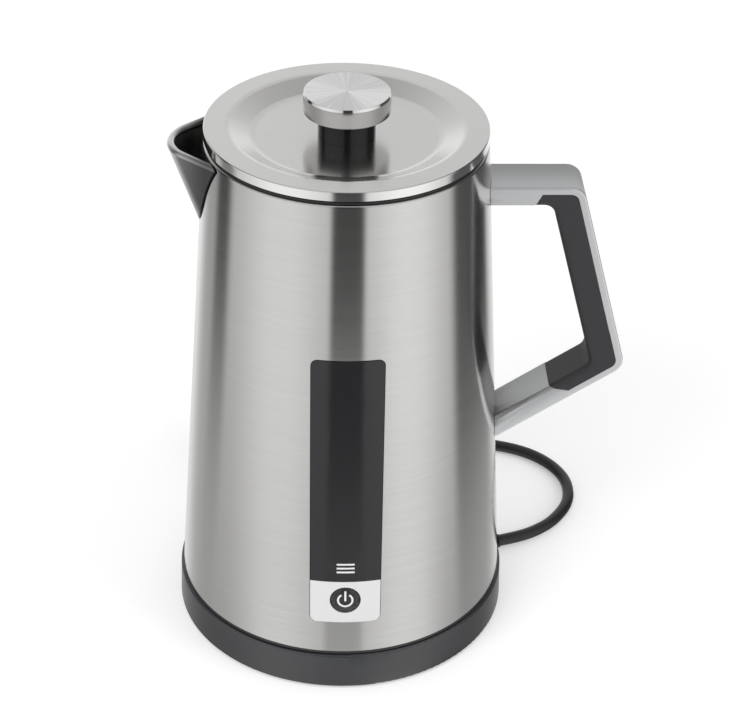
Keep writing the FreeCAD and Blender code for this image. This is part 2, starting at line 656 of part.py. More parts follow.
def make_bottom_cover():
    """Dark cover with the thin skirt that shows under the steel."""
    inner = "cover_radius - cover_wall"
    spigot = "shell_bottom_radius - shell_wall - running_gap"
    body = turned("bottom_cover", [
        ("socket_radius + fit_gap", "jug_rest"), ("cover_radius", "jug_rest", "1.0"),
        ("cover_radius", "skirt_bottom"), ("skirt_radius", "skirt_bottom", "0.4"),
        ("skirt_radius", "shell_bottom", "0.25"), (spigot, "shell_bottom"),
        (spigot + " - shell_taper * spigot_height", "shell_bottom + spigot_height", "0.5"),
        (spigot + " - cover_wall", "shell_bottom + spigot_height"),
        (spigot + " - cover_wall", "skirt_bottom + cover_wall"), (inner, "skirt_bottom + cover_wall"),
        (inner, "jug_rest + cover_wall"), ("socket_radius + fit_gap", "jug_rest + cover_wall")])
    ring = sketch_in(body, "cover_boss_ring", "XY_Plane", "jug_rest + cover_wall")
    circle_at(ring, "stud_circle", "0", "boss_radius")
    boss = pad(body, "cover_boss", ring, "stud_bottom - jug_rest - cover_wall")
    well = sketch_in(body, "cover_head_well", "XY_Plane")
    circle_at(well, "stud_circle", "0", "screw_head_radius + running_gap")
    counterbore = pocket(body, "cover_counterbore", well, "jug_rest + 3.5", reverse=True)
    bore = sketch_in(body, "cover_bore_ring", "XY_Plane")
    circle_at(bore, "stud_circle", "0", "screw_radius + fit_gap")
    hole = pocket(body, "cover_bore", bore, "stud_bottom + 1", reverse=True)
    pattern(body, "three_cover_bosses", [boss, counterbore, hole], 3)
    return body


def make_cover_screws():
    """Screws from below into the pot's stand-offs."""
    return screw_set("cover_screws", "stud_circle", "jug_rest + 1.4", "stud_bottom + 8", 3)


def make_pot_studs():
    """Threaded stand-offs welded under the pot."""
    body = new_body("pot_studs")
    ring = sketch_in(body, "stud_ring", "XY_Plane", "stud_bottom")
    circle_at(ring, "stud_circle", "0", "stud_radius")
    stud = pad(body, "stud", ring, "pot_floor - pot_wall - stud_bottom")
    bore = sketch_in(body, "stud_bore_ring", "XY_Plane", "stud_bottom")
    circle_at(bore, "stud_circle", "0", "screw_radius + 0.05")
    hole = pocket(body, "stud_bore", bore, "9", reverse=True)
    pattern(body, "three_studs", [stud, hole], 3)
    return body


def make_connector_socket():
    """Jug half of the connector: a stepped well that the post fills."""
    bore = "post_radius + socket_clearance"
    neck = "post_neck_radius + socket_clearance"
    return turned("connector_socket", [
        (bore, "jug_rest + 0.2", "0.4"), ("socket_radius", "jug_rest + 0.2", "0.6"),
        ("socket_radius", "socket_top", "1.0"), ("0", "socket_top"), ("0", "post_top + 0.8"),
        (neck, "post_top + 0.8"), (neck, "post_shoulder + 0.6"), (bore, "post_shoulder + 0.6")])


def make_controller_bracket():
    """Pressed steel hat that hangs the connector from the heating plate."""
    return turned("controller_bracket", [
        ("probe_radius + 2", "socket_top"), ("socket_radius - 1", "socket_top"),
        ("socket_radius + 1.6", "heater_bottom - 1"), ("socket_radius + 7", "heater_bottom - 1"),
        ("socket_radius + 7", "heater_bottom"), ("socket_radius + 0.8", "heater_bottom"),
        ("socket_radius - 1.8", "socket_top + 1"), ("probe_radius + 2", "socket_top + 1")])


def make_heater_plate():
    return turned("heater_plate", [
        ("probe_radius + fit_gap", "heater_bottom"), ("heater_radius", "heater_bottom", "0.6"),
        ("heater_radius", "pot_floor - pot_wall"), ("probe_radius + fit_gap", "pot_floor - pot_wall")])


def make_heating_element():
    """Open ring of sheathed tube with a cold end turned down at each end."""
    ring = primitive("Torus", "element_ring", Radius1="element_circle", Radius2="element_radius",
                     Angle3="element_angle", Placement__Base__z="heater_bottom - element_radius")
    ends = []
    for name, angle in (("first", "4"), ("last", "element_angle - 4")):
        ends.append(primitive(
            "Cylinder", name + "_terminal", Radius="terminal_radius",
            Height="terminal_length + element_radius",
            Placement__Base__x=f"element_circle * cos({angle})",
            Placement__Base__y=f"element_circle * sin({angle})",
            Placement__Base__z="heater_bottom - 2 * element_radius - terminal_length"))
    feature = DOC.addObject("Part::MultiFuse", "heating_element")
    feature.Shapes = [ring] + ends
    return feature


def make_temperature_probe():
    """Capsule through the pot floor, standing on the controller's bracket."""
    return turned("temperature_probe", [
        ("0", "socket_top + 0.1"), ("probe_radius", "socket_top + 0.1"),
        ("probe_radius", "pot_floor + probe_rise", "2.4"), ("0", "pot_floor + probe_rise")])


# Jug: shell and pot

PORT = [("-port_top_half", "port_top", "port_corner"), ("-port_bottom_half", "port_bottom", "port_corner"),
        ("port_bottom_half", "port_bottom", "port_corner"), ("port_top_half", "port_top", "port_corner")]


def grown_port(margin):
    """The port's outline with a margin around it."""
    return [(f"{'-' if i < 2 else ''}(port_{'top' if i in (0, 3) else 'bottom'}_half + {margin})",
             f"port_{'top' if i in (0, 3) else 'bottom'} {'+' if i in (0, 3) else '-'} ({margin})",
             f"port_corner + ({margin})") for i in range(4)]


def make_outer_shell():
    """Brushed cone with a rolled rim and openings for panel, spout and handle."""
    body = turned("outer_shell", [
        ("shell_bottom_radius", "shell_bottom"), ("shell_top_radius", "shell_top", "rim_rounding"),
        ("pot_mouth_radius", "shell_top"), ("pot_mouth_radius", "shell_top - shell_wall"),
        (shell_radius("shell_top - shell_wall", "-shell_wall"), "shell_top - shell_wall", "0.5"),
        ("shell_bottom_radius - shell_wall", "shell_bottom")])
    window = sketch_in(body, "panel_window", "XZ_Plane")
    outline(window, rounded_box("panel_half", "panel_bottom", "panel_top", "panel_corner + panel_gap",
                                "panel_gap"))
    pocket(body, "panel_opening", window, "clear_radius", reverse=True)
    port = sketch_in(body, "shell_port", "YZ_Plane")
    outline(port, PORT)
    pocket(body, "port_opening", port, "clear_radius")
    holes = sketch_in(body, "handle_holes", "YZ_Plane")
    circle_at(holes, "0", "upper_screw", "handle_screw_radius + fit_gap")
    circle_at(holes, "0", "lower_screw", "handle_screw_radius + fit_gap")
    pocket(body, "handle_openings", holes, "clear_radius", reverse=True)
    return body


def make_inner_pot():
    """Deep-drawn pot that hangs by its lip under the shell's rim."""
    body = turned("inner_pot", [
        ("probe_radius + fit_gap", "pot_floor"), ("pot_floor_radius", "pot_floor", "pot_corner"),
        ("pot_mouth_radius", "pot_top"), ("pot_mouth_radius + pot_lip", "pot_top"),
        ("pot_mouth_radius + pot_lip", "pot_top - pot_wall"),
        ("pot_mouth_radius + pot_wall", "pot_top - pot_wall"),
        ("pot_floor_radius + pot_wall", "pot_floor - pot_wall", "pot_corner + pot_wall"),
        ("probe_radius + fit_gap", "pot_floor - pot_wall")])
    port = sketch_in(body, "pot_port", "YZ_Plane")
    outline(port, PORT)
    pocket(body, "pot_opening", port, "clear_radius")
    return body


def make_port_sleeve():
    """Silicone sleeve that joins the two port openings across the double wall."""
    outer = prism("sleeve_outer", "YZ_Plane", grown_port("-fit_gap"), "-clear_radius", "clear_radius")
    inner = prism("sleeve_inner", "YZ_Plane", grown_port("-sleeve_wall"), "-clear_radius", "clear_radius")
    tube = cut("sleeve_tube", outer, inner)
    space = cone_skin("sleeve_space", "0", "-5.3", "port_bottom - 4", "port_top + 4")
    return common("port_sleeve", tube, space)


def make_spout_filter():
    """Slotted plate clipped over the port, inside the pot."""
    plate = prism("filter_outline", "YZ_Plane", grown_port("filter_margin"), "-clear_radius", "clear_radius")
    skin = cone_skin("filter_skin", "-fit_gap", "-fit_gap - filter_thickness",
                     "port_bottom - 8", "port_top + 3.4", pot_radius)
    sheet = common("filter_sheet", plate, skin)
    slots = []
    for step in range(-4, 5):
        shortfall = f"({abs(step)} * slot_pitch - port_bottom_half) * 2.2"
        low = f"port_bottom + 2 + max(0; {shortfall})"
        slot = primitive("Box", f"filter_slot_{step + 4}", Length="clear_radius", Width="slot_width",
                         Height=f"port_top - 2 - ({low})", Placement__Base__x="-clear_radius",
                         Placement__Base__y=f"{step} * slot_pitch - slot_width / 2",
                         Placement__Base__z=low)
        slots.append(slot)
    return cut("spout_filter", sheet, *slots)


def spout_plan(sketch, inset):
    """Prow plan: a round tip and two straight flanks that run into the shell."""
    radius = f"(spout_tip_radius - ({inset}))"
    centre = "(spout_reach - spout_tip_radius)"
    tangent_x = f"-({centre} + {radius} * cos(spout_half_angle))"
    tangent_y = f"{radius} * sin(spout_half_angle)"
    run = "(spout_reach - spout_tip_radius - 14)"
    flank_x = f"{tangent_x} + {run}"
    flank_y = f"({tangent_y} + {run} / tan(spout_half_angle))"
    half = math.radians(value("spout_half_angle"))
    middle = Vector(-value(centre), 0, 0)
    circle = Part.Circle(middle, Vector(0, 0, 1), value(radius))
    arc = sketch.addGeometry(Part.ArcOfCircle(circle, math.pi - half, math.pi + half), False)
    index = sketch.addConstraint(Sketcher.Constraint("Radius", arc, value(radius)))
    sketch.setExpression(f"Constraints[{index}]", formula(radius))
    ends = []
    for position, sign in ((2, "-"), (1, "")):
        start = Vector(value(tangent_x), value(f"{sign}({tangent_y})"), 0)
        end = Vector(value(flank_x), value(f"{sign}{flank_y}"), 0)
        line = sketch.addGeometry(Part.LineSegment(start, end), False)
        sketch.addConstraint(Sketcher.Constraint("Coincident", arc, position, line, 1))
        pin_point(sketch, line, 1, tangent_x, f"{sign}({tangent_y})")
        pin_point(sketch, line, 2, flank_x, f"{sign}{flank_y}")
        ends.append(line)
    return arc, ends


def close_plan(sketch, lines):
    """Joins the two flanks of a spout plan inside the shell."""
    points = [sketch.Geometry[line].EndPoint for line in lines]
    closing = sketch.addGeometry(Part.LineSegment(*points), False)
    sketch.addConstraint(Sketcher.Constraint("Coincident", closing, 1, lines[0], 2))
    sketch.addConstraint(Sketcher.Constraint("Coincident", closing, 2, lines[1], 2))


def lean_along_keel(feature, depth):
    """Runs a pad or pocket down along the leaning keel."""
    feature.UseCustomVector = True
    feature.AlongSketchNormal = False
    feature.Direction = Vector(value("keel_run"), 0, -1)
    bind(feature, Direction__x="keel_run", Length=depth)


def make_spout():
    """Folded prow with a rolled pouring rim, cut to the shell's cone."""
    body = new_body("spout")
    plan = sketch_in(body, "spout_outside", "XY_Plane", "spout_rim - spout_bead")
    arc, flanks = spout_plan(plan, "0")
    close_plan(plan, flanks)
    skin = body.newObject("PartDesign::Pad", "spout_prow")
    skin.Profile = plan
    lean_along_keel(skin, "spout_depth")
    body.Tip = skin
    DOC.recompute()
    hollow = sketch_in(body, "spout_inside", "XY_Plane", "spout_rim - spout_bead + 0.5")
    arc, flanks = spout_plan(hollow, "spout_wall")
    close_plan(hollow, flanks)
    room = body.newObject("PartDesign::Pocket", "spout_channel")
    room.Profile = hollow
    lean_along_keel(room, "spout_depth + 4")
    body.Tip = room
    path = sketch_in(body, "spout_rim_line", "XY_Plane", "spout_rim - spout_bead")
    spout_plan(path, "spout_bead")
    DOC.recompute()
    start = path.Geometry[1]
    section = body.newObject("Sketcher::SketchObject", "spout_bead_section")
    section.AttachmentSupport = [(path, "Edge2")]
    section.MapMode = "NormalToEdge"
    section.MapPathParameter = 0.0
    circle_at(section, "0", "0", "spout_bead")
    bead = body.newObject("PartDesign::AdditivePipe", "spout_rolled_rim")
    bead.Profile = section
    bead.Spine = (path, ["Edge2", "Edge1", "Edge3"])
    body.Tip = bead
    DOC.recompute()
    trim = turn_profile(body, "spout_trim", [[
        ("0", "shell_bottom"), (shell_radius("shell_bottom", "spout_seam"), "shell_bottom"),
        (shell_radius("spout_rim + 6", "spout_seam"), "spout_rim + 6"), ("0", "spout_rim + 6")]], "Groove")
    return body


# Display panel

def panel_piece(name, corners, outside, inside):
    """A piece of the panel: an upright outline cut out of a conical skin."""
    block = prism(name + "_block", "XZ_Plane", corners, "0", "clear_radius")
    skin = cone_skin(name + "_skin", outside, inside, "panel_bottom - 8", "panel_top + 8")
    return common(name + "_piece", block, skin)


def bar_heights():
    return [f"bar_low + {step} * bar_pitch" for step in range(3)]


def make_display_lens():
    """Dark gloss lens with three slots for the indicator bars."""
    piece = panel_piece("lens", [
        ("-panel_half", "panel_split + fit_gap"), ("panel_half", "panel_split + fit_gap"),
        ("panel_half", "panel_top", "panel_corner"), ("-panel_half", "panel_top", "panel_corner")],
        "panel_proud", "-panel_depth")
    slots = [bar_block(f"lens_slot_{i}", low, "0.05") for i, low in enumerate(bar_heights())]
    return cut("display_lens", piece, *slots)


def bar_block(name, low, margin):
    return primitive("Box", name, Length=f"2 * (bar_half + {margin})", Width="clear_radius",
                     Height=f"bar_height + 2 * {margin}", Placement__Base__x=f"-bar_half - {margin}",
                     Placement__Base__y="-clear_radius - 1", Placement__Base__z=f"{low} - {margin}")


def make_indicator_bars():
    """White light guides behind the three bars of the display."""
    blocks = DOC.addObject("Part::MultiFuse", "bar_blocks")
    blocks.Shapes = [bar_block(f"bar_{i}", low, "0") for i, low in enumerate(bar_heights())]
    skin = cone_skin("bar_skin", "panel_proud", "-panel_depth - 0.8", "panel_bottom", "panel_top")
    return common("indicator_bars", blocks, skin)


def button_bore(name, radius):
    """A cylinder across the panel at the button, from the axis outwards."""
    rod = primitive("Cylinder", name, Radius=radius, Height="clear_radius")
    rod.Placement = Placement(Vector(0, 0, value("button_height")), Rotation(Vector(1, 0, 0), 90))
    bind(rod, Placement__Base__z="button_height")
    return rod


def make_button_plate():
    """White gloss plate under the lens, with the hole for the power button."""
    piece = panel_piece("plate", [
        ("-panel_half", "panel_bottom", "panel_corner"), ("panel_half", "panel_bottom", "panel_corner"),
        ("panel_half", "panel_split"), ("-panel_half", "panel_split")], "panel_proud", "-panel_depth")
    return cut("button_plate", piece, button_bore("plate_bore", "button_radius + button_gap"))


def make_power_button():
    """Round push button whose face follows the shell, kept by a flange."""
    skin = cone_skin("button_skin", "panel_proud", "-4.6", "button_height - 12", "button_height + 12")
    cap = common("button_cap", skin, button_bore("button_rod", "button_radius"))
    back = primitive("Cylinder", "button_rim", Radius="button_radius + button_flange",
                     Height="button_flange_front - button_flange_back")
    back.Placement = Placement(Vector(0, 0, value("button_height")), Rotation(Vector(1, 0, 0), 90))
    bind(back, Placement__Base__z="button_height", Placement__Base__y="-button_flange_back")
    trim = primitive("Box", "button_back_space", Length="40", Width="40", Height="40",
                     Placement__Base__x="-20", Placement__Base__y="-button_flange_back",
                     Placement__Base__z="button_height - 20")
    both = DOC.addObject("Part::MultiFuse", "button_whole")
    both.Shapes = [cap, back]
    return cut("power_button", both, trim)


def make_panel_frame():
    """Frame behind the steel that carries lens and plate on a ledge."""
    span = ("panel_half", "panel_bottom", "panel_top")
    block = prism("frame_block", "XZ_Plane", rounded_box(*span, "panel_corner + frame_margin", "frame_margin"),
                  "0", "clear_radius")
    skin = cone_skin("frame_skin", "-shell_wall - running_gap", "-panel_depth - frame_depth",
                     "panel_bottom - 8", "panel_top + 8")
    whole = common("frame_whole", block, skin)
    opening = prism("frame_opening", "XZ_Plane",
                    rounded_box(*span, "0.8", "-frame_ledge"), "0", "clear_radius")
    seat_block = prism("frame_seat_block", "XZ_Plane",
                       rounded_box(*span, "panel_corner + 0.2", "0.2"), "0", "clear_radius")
    seat_skin = cone_skin("frame_seat_skin", "1", "-panel_depth - fit_gap", "panel_bottom - 6", "panel_top + 6")
    return cut("panel_frame", whole, opening, common("frame_seat", seat_block, seat_skin))


def make_display_board():
    """Circuit board that leans with the wall."""
    board = primitive("Box", "display_board", Length="2 * board_half", Width="board_thickness",
                      Height="board_high - board_low", Placement__Base__x="-board_half",
                      Placement__Base__y="-board_front - shell_taper * (button_height - board_low)",
                      Placement__Base__z="board_low")
    board.Placement = Placement(board.Placement.Base, Rotation(Vector(-1, 0, 0), 1))
    bind(board, Placement__Rotation__Angle="atan(shell_taper)")
    return board


def make_button_switch():
    """Flat tact switch on the board, just behind the button."""
    depth = "board_front - button_flange_back + button_travel + 0.1"
    case = primitive("Box", "button_switch", Length="6", Width=f"-({depth}) - 0.25", Height="6",
                     Placement__Base__x="-3", Placement__Base__z="button_height - 3",
                     Placement__Base__y="-button_flange_back + button_travel + 0.1")
    return case


# Handle

LEAN = "handle_lean"


def outer_line(height, inset):
    """Reach of the handle's outer face at a height, moved inwards."""
    return f"(handle_reach + (handle_top - ({height})) * tan({LEAN}) - ({inset}) / cos({LEAN}))"


def under_line(reach, inset):
    """Height of the lower arm's underside at a reach, moved inwards."""
    return f"(handle_low - (handle_low_reach - ({reach})) * tan(arm_slope) + ({inset}) / cos(arm_slope))"


def low_corner(outer_inset, under_inset):
    """Where the two lines cross at the handle's lower corner."""
    drop = (f"((({under_inset}) * tan({LEAN}) / cos(arm_slope) + ({outer_inset}) / cos({LEAN}))"
            f" / (1 + tan(arm_slope) * tan({LEAN})))")
    reach = f"(handle_low_reach - {drop})"
    return reach, f"(handle_low - {drop} * tan(arm_slope) + ({under_inset}) / cos(arm_slope))"


def edges_where(shape, test):
    """Names of the edges that pass a test."""
    return [f"Edge{i}" for i, edge in enumerate(shape.Edges, start=1) if test(edge)]


def dress(body, kind, name, size, test):
    """Fillets or chamfers the edges of a body that pass a test."""
    DOC.recompute()
    tip = body.Tip
    names = edges_where(tip.Shape, test)
    if not names:
        raise RuntimeError(name + " finds no edge")
    feature = body.newObject("PartDesign::" + kind, name)
    feature.Base = (tip, names)
    bind(feature, **{"Radius" if kind == "Fillet" else "Size": size})
    body.Tip = feature
    return feature


def on_side(edge):
    """Whether an edge lies in one of the handle's flat sides."""
    half = value("handle_half")
    return all(abs(abs(v.Y) - half) < 1e-4 for v in edge.Vertexes) and len(edge.Vertexes) == 2 and \
        abs(edge.Vertexes[0].Y - edge.Vertexes[1].Y) < 1e-4


def handle_bore(body, name, height):
    """Blind hole in an arm for its screw."""
    sketch = sketch_in(body, name + "_ring", "YZ_Plane")
    circle_at(sketch, "0", height, "handle_screw_radius + 0.05")
    pocket(body, name, sketch, shell_radius(height, "handle_screw_grip + 1"), reverse=True)


def make_handle_frame():
    """Metal bow of the handle: two arms and the band behind the soft grip."""
    root = shell_radius("shell_top", "-12")
    body = new_body("handle_frame")
    side = sketch_in(body, "handle_side", "XZ_Plane")
    outline(side, [
        (root, "handle_top"), ("handle_reach", "handle_top", "handle_corner"),
        ("handle_low_reach", "handle_low", "handle_corner"), (root, under_line(root, "0")),
        (root, under_line(root, "arm_thickness")),
        ("grip_lower_nose", under_line("grip_lower_nose", "arm_thickness")),
        ("grip_lower_start", under_line("grip_lower_start", "handle_band")),
        (*low_corner("handle_band", "handle_band"), "band_corner"),
        (outer_line("handle_top - handle_band", "handle_band"), "handle_top - handle_band", "band_corner"),
        ("grip_upper_start", "handle_top - handle_band"),
        ("grip_upper_nose", "handle_top - arm_thickness"), (root, "handle_top - arm_thickness")])
    pad(body, "handle_bow", side, "2 * handle_half", midplane=True)
    limit = value("grip_upper_nose") - 1
    middle = (value("handle_top") + value("handle_low")) / 2
    arm = value("arm_thickness")

    def finger_side(edge):
        if not on_side(edge):
            return False
        centre = edge.CenterOfMass
        upper = centre.z > middle and abs(centre.z - value("handle_top") + arm) < 0.5
        line = value(under_line(centre.x, "arm_thickness"))
        lower = centre.z < middle and abs(centre.z - line) < 0.5
        return centre.x < limit + 12 and (upper or lower)

    def outside(edge):
        if not on_side(edge):
            return False
        centre = edge.CenterOfMass
        top = abs(centre.z - value("handle_top")) < 0.5
        under = abs(centre.z - value(under_line(centre.x, "0"))) < 0.5
        outer = abs(centre.x - value(outer_line(centre.z, "0"))) < 2.5 and centre.x > limit
        return top or under or outer

    dress(body, "Chamfer", "arm_bevels", "arm_chamfer", finger_side)
    dress(body, "Fillet", "band_rounding", "handle_edge", outside)
    DOC.recompute()
    turn_profile(body, "handle_seat", [[
        ("0", "shell_bottom"), (shell_radius("shell_bottom", "handle_seam"), "shell_bottom"),
        (shell_radius("shell_top + 4", "handle_seam"), "shell_top + 4"), ("0", "shell_top + 4")]], "Groove")
    handle_bore(body, "upper_bore", "upper_screw")
    handle_bore(body, "lower_bore", "lower_screw")
    return body


def make_handle_grip():
    """Soft dark insert inside the metal bow."""
    gap = "fit_gap"
    body = new_body("handle_grip")
    side = sketch_in(body, "grip_side", "XZ_Plane")
    outline(side, [
        (f"grip_upper_nose + {gap}", "handle_top - arm_thickness"),
        (f"grip_upper_start + {gap}", f"handle_top - handle_band - {gap}"),
        (outer_line(f"handle_top - handle_band - {gap}", f"handle_band + {gap}"),
         f"handle_top - handle_band - {gap}", "band_corner"),
        (*low_corner(f"handle_band + {gap}", f"handle_band + {gap}"), "band_corner"),
        (f"grip_lower_start + {gap}", under_line(f"grip_lower_start + {gap}", f"handle_band + {gap}")),
        (f"grip_lower_nose + {gap}", under_line(f"grip_lower_nose + {gap}", "arm_thickness")),
        (*low_corner("grip_depth", "arm_thickness"), "grip_corner"),
        (outer_line("handle_top - arm_thickness", "grip_depth"), "handle_top - arm_thickness",
         "grip_corner")])
    pad(body, "grip_block", side, "2 * handle_half", midplane=True)
    band = value("handle_band") + 1.0

    def inside(edge):
        if not on_side(edge):
            return False
        centre = edge.CenterOfMass
        far_from_band = centre.x < value(outer_line(centre.z, "0")) - band - 4
        line = value(under_line(centre.x, "arm_thickness"))
        upper = abs(centre.z - value("handle_top") + value("arm_thickness")) < 0.6
        return far_from_band and (upper or centre.z > line - 0.6) and \
            centre.z < value("handle_top") - value("arm_thickness") + 0.6

    dress(body, "Fillet", "grip_softening", "grip_rounding", inside)
    return body


def make_handle_brackets():
    """Doubler plates behind the shell, one for each arm."""
    skin = cone_skin("bracket_skin", "-shell_wall - running_gap", "-shell_wall - bracket_wall",
                     "lower_screw - bracket_rise - 2", "upper_screw + bracket_rise + 2")
    blocks = DOC.addObject("Part::MultiFuse", "bracket_blocks")
    bores = []
    plates = []
    for name, height in (("upper", "upper_screw"), ("lower", "lower_screw")):
        plates.append(primitive(
            "Box", name + "_bracket_block", Length="clear_radius", Width="2 * bracket_half",
            Height="2 * bracket_rise", Placement__Base__y="-bracket_half",
            Placement__Base__z=f"{height} - bracket_rise"))
        bore = primitive("Cylinder", name + "_bracket_bore", Radius="handle_screw_radius + fit_gap",
                         Height="clear_radius")
        bore.Placement = Placement(Vector(), Rotation(Vector(0, 1, 0), 90))
        bind(bore, Placement__Base__z=height)
        bores.append(bore)
    blocks.Shapes = plates
    return cut("handle_brackets", common("bracket_plates", skin, blocks), *bores)


def make_handle_screws():
    """Pan-head screws from inside the double wall into the arms."""
    screws = []
    for name, height in (("upper", "upper_screw"), ("lower", "lower_screw")):
        seat = shell_radius(height, "-shell_wall - bracket_wall - 0.35")
        head = primitive("Cylinder", name + "_screw_head", Radius="screw_head_radius",
                         Height="screw_head_height")
        shank = primitive("Cylinder", name + "_screw_shank", Radius="handle_screw_radius",
                          Height="handle_screw_grip + shell_wall + bracket_wall")
        for rod, place in ((head, f"{seat} - screw_head_height"), (shank, seat)):
            rod.Placement = Placement(Vector(), Rotation(Vector(0, 1, 0), 90))
            bind(rod, Placement__Base__x=place, Placement__Base__z=height)
        screw = DOC.addObject("Part::Fuse", name + "_screw_body")
        screw.Base = head
        screw.Tool = shank
        screws.append(screw)
    return group("handle_screws", *screws)


# Lid

SCREW_BORE = "screw_radius + fit_gap"


def make_lid_cap():
    """Steel lid with a dished floor and a rolled rim band."""
    return turned("lid_cap", [
        (SCREW_BORE, "lid_floor"), ("dish_inner", "lid_floor", "4"), ("dish_outer", "lid_rim", "3"),
        ("lid_radius", "lid_rim", "0.9"), ("lid_band_radius", "lid_bottom"),
        ("lid_band_radius - lid_wall", "lid_bottom"), ("lid_radius - lid_wall", "lid_rim - lid_wall", "0.3"),
        ("dish_outer + 0.3", "lid_rim - lid_wall", "2.4"), ("dish_inner + 0.3", "lid_floor - lid_wall", "4.6"),
        (SCREW_BORE, "lid_floor - lid_wall")])


def make_lid_liner():
    """Plastic plug of the lid, with a boss for the knob's screw."""
    return turned("lid_liner", [
        ("screw_head_radius + 0.4", "plug_bottom"), ("plug_radius", "plug_bottom", "1.2"),
        ("plug_radius", "lid_bottom + 0.05"), ("lid_band_radius - lid_wall - fit_gap", "lid_bottom + 0.05"),
        ("lid_band_radius - lid_wall - fit_gap", "lid_bottom + liner_wall"),
        ("plug_radius - liner_wall", "lid_bottom + liner_wall"),
        ("plug_radius - liner_wall", "plug_bottom + liner_wall"), ("6", "plug_bottom + liner_wall"),
        ("6", "lid_floor - lid_wall - 0.05"), (SCREW_BORE, "lid_floor - lid_wall - 0.05"),
        (SCREW_BORE, "plug_bottom + 3.2"), ("screw_head_radius + 0.4", "plug_bottom + 3.2")])


def make_lid_gasket():
    """Black silicone ring that seals the lid on the shell's rim."""
    bead = "gasket_radius + gasket_bead"
    return turned("lid_gasket", [
        ("plug_radius + 0.3", "shell_top + 0.05"), ("gasket_radius", "shell_top + 0.05"),
        ("gasket_radius", "shell_top + 0.65"), (bead, "shell_top + 0.85"), (bead, "lid_bottom - 0.75"),
        ("gasket_radius", "lid_bottom - 0.55"), ("gasket_radius", "lid_bottom"),
        ("plug_radius + 0.3", "lid_bottom")])


def make_knob_neck():
    return turned("knob_neck", [
        (SCREW_BORE, "lid_floor + 0.05"), ("neck_radius + neck_foot", "lid_floor + 0.05"),
        ("neck_radius + neck_foot", "lid_floor + 0.7", "0.3"), ("neck_radius", "lid_floor + 1.3"),
        ("neck_radius", "knob_bottom - 0.05"), (SCREW_BORE, "knob_bottom - 0.05")])


def make_knob_cap():
    """Solid steel knob with a polished bevel."""
    return turned("knob_cap", [
        ("0", "knob_top - 2.4"), ("0", "knob_top"), ("knob_radius - knob_bevel_in", "knob_top"),
        ("knob_radius", "knob_top - knob_bevel_down"), ("knob_radius", "knob_bottom", "0.6"),
        ("screw_radius + 0.05", "knob_bottom"), ("screw_radius + 0.05", "knob_top - 2.4")])


def make_knob_screw():
    """Long screw that clamps liner, lid, neck and knob together."""
    return turned("knob_screw", [
        ("0", "plug_bottom + 1.4"), ("1.2", "plug_bottom + 1.4"), ("1.2", "plug_bottom + 0.6"),
        ("screw_head_radius", "plug_bottom + 0.6", "0.5"), ("screw_head_radius", "plug_bottom + 3.1"),
        ("screw_radius", "plug_bottom + 3.1"), ("screw_radius", "knob_top - 3"), ("0", "knob_top - 3")])


# Cord and plug

# Route of the cord on the floor: heading from +X in degrees and length of each straight run.
CORD_RUNS = [(19.7, 10), (27, 11), (40, 14), (60, 20), (92, 22), (127, 24), (158, 25), (176, 26)]
# Height of each point after the first, the first being the strain relief's end.
CORD_LIFT = [3.2, 3.0, 3.0, 3.0, 3.0, 3.0, 3.0, 3.3]


def corner_arc(before, corner, after, radius):
    """Start, middle and end of the arc that rounds one corner of a route."""
    incoming = (corner - before).normalize()
    outgoing = (after - corner).normalize()
    turn = incoming.getAngle(outgoing)
    reach = radius * math.tan(turn / 2)
    start = corner - incoming * reach
    end = corner + outgoing * reach
    chord = (start + end) * 0.5
    share = math.cos(turn / 2)
    return start, chord + (corner - chord) * (share / (1 + share)), end


def rounded_route(points):
    """A wire of straight runs joined by tangent arcs, each as large as its runs allow."""
    edges = []
    last = points[0]
    for i in range(1, len(points) - 1):
        before, corner, after = points[i - 1:i + 2]
        turn = (corner - before).getAngle(after - corner)
        run = min((corner - before).Length, (after - corner).Length)
        radius = 0.45 * run / math.tan(turn / 2)
        start, middle, end = corner_arc(before, corner, after, radius)
        edges.append(Part.LineSegment(last, start).toShape())
        edges.append(Part.Arc(start, middle, end).toShape())
        print(f"  bend {i}: {math.degrees(turn):.0f} degrees, radius {radius:.1f}")
        last = end
    edges.append(Part.LineSegment(last, points[-1]).toShape())
    return Part.Wire(edges)


def tube(label, wire):
    """A round solid along a wire, with its volume compared to section times length."""
    start = wire.Edges[0]
    radius = value("cord_diameter / 2")
    heading = start.tangentAt(start.FirstParameter)
    ring = Part.Wire(Part.makeCircle(radius, start.valueAt(start.FirstParameter), heading))
    solid = wire.makePipeShell([ring], True, False)
    expected = math.pi * radius ** 2 * wire.Length
    print(f"{label}: {wire.Length:.1f} mm, volume {solid.Volume / expected:.4f} of section times length")
    feature = DOC.addObject("Part::Feature", label)
    feature.Shape = solid
    return feature


def cord_points():
    angle = math.radians(value("exit_angle"))
    reach = value("relief_end")
    points = [Vector(reach * math.cos(angle), reach * math.sin(angle), value("relief_end_height"))]
    for (heading, run), height in zip(CORD_RUNS, CORD_LIFT):
        step = Vector(math.cos(math.radians(heading)), math.sin(math.radians(heading)), 0) * run
        points.append(Vector(points[-1].x + step.x, points[-1].y + step.y, height))
    place, heading = coil_place(0)
    points.append(place - heading * value("cord_diameter"))
    return points


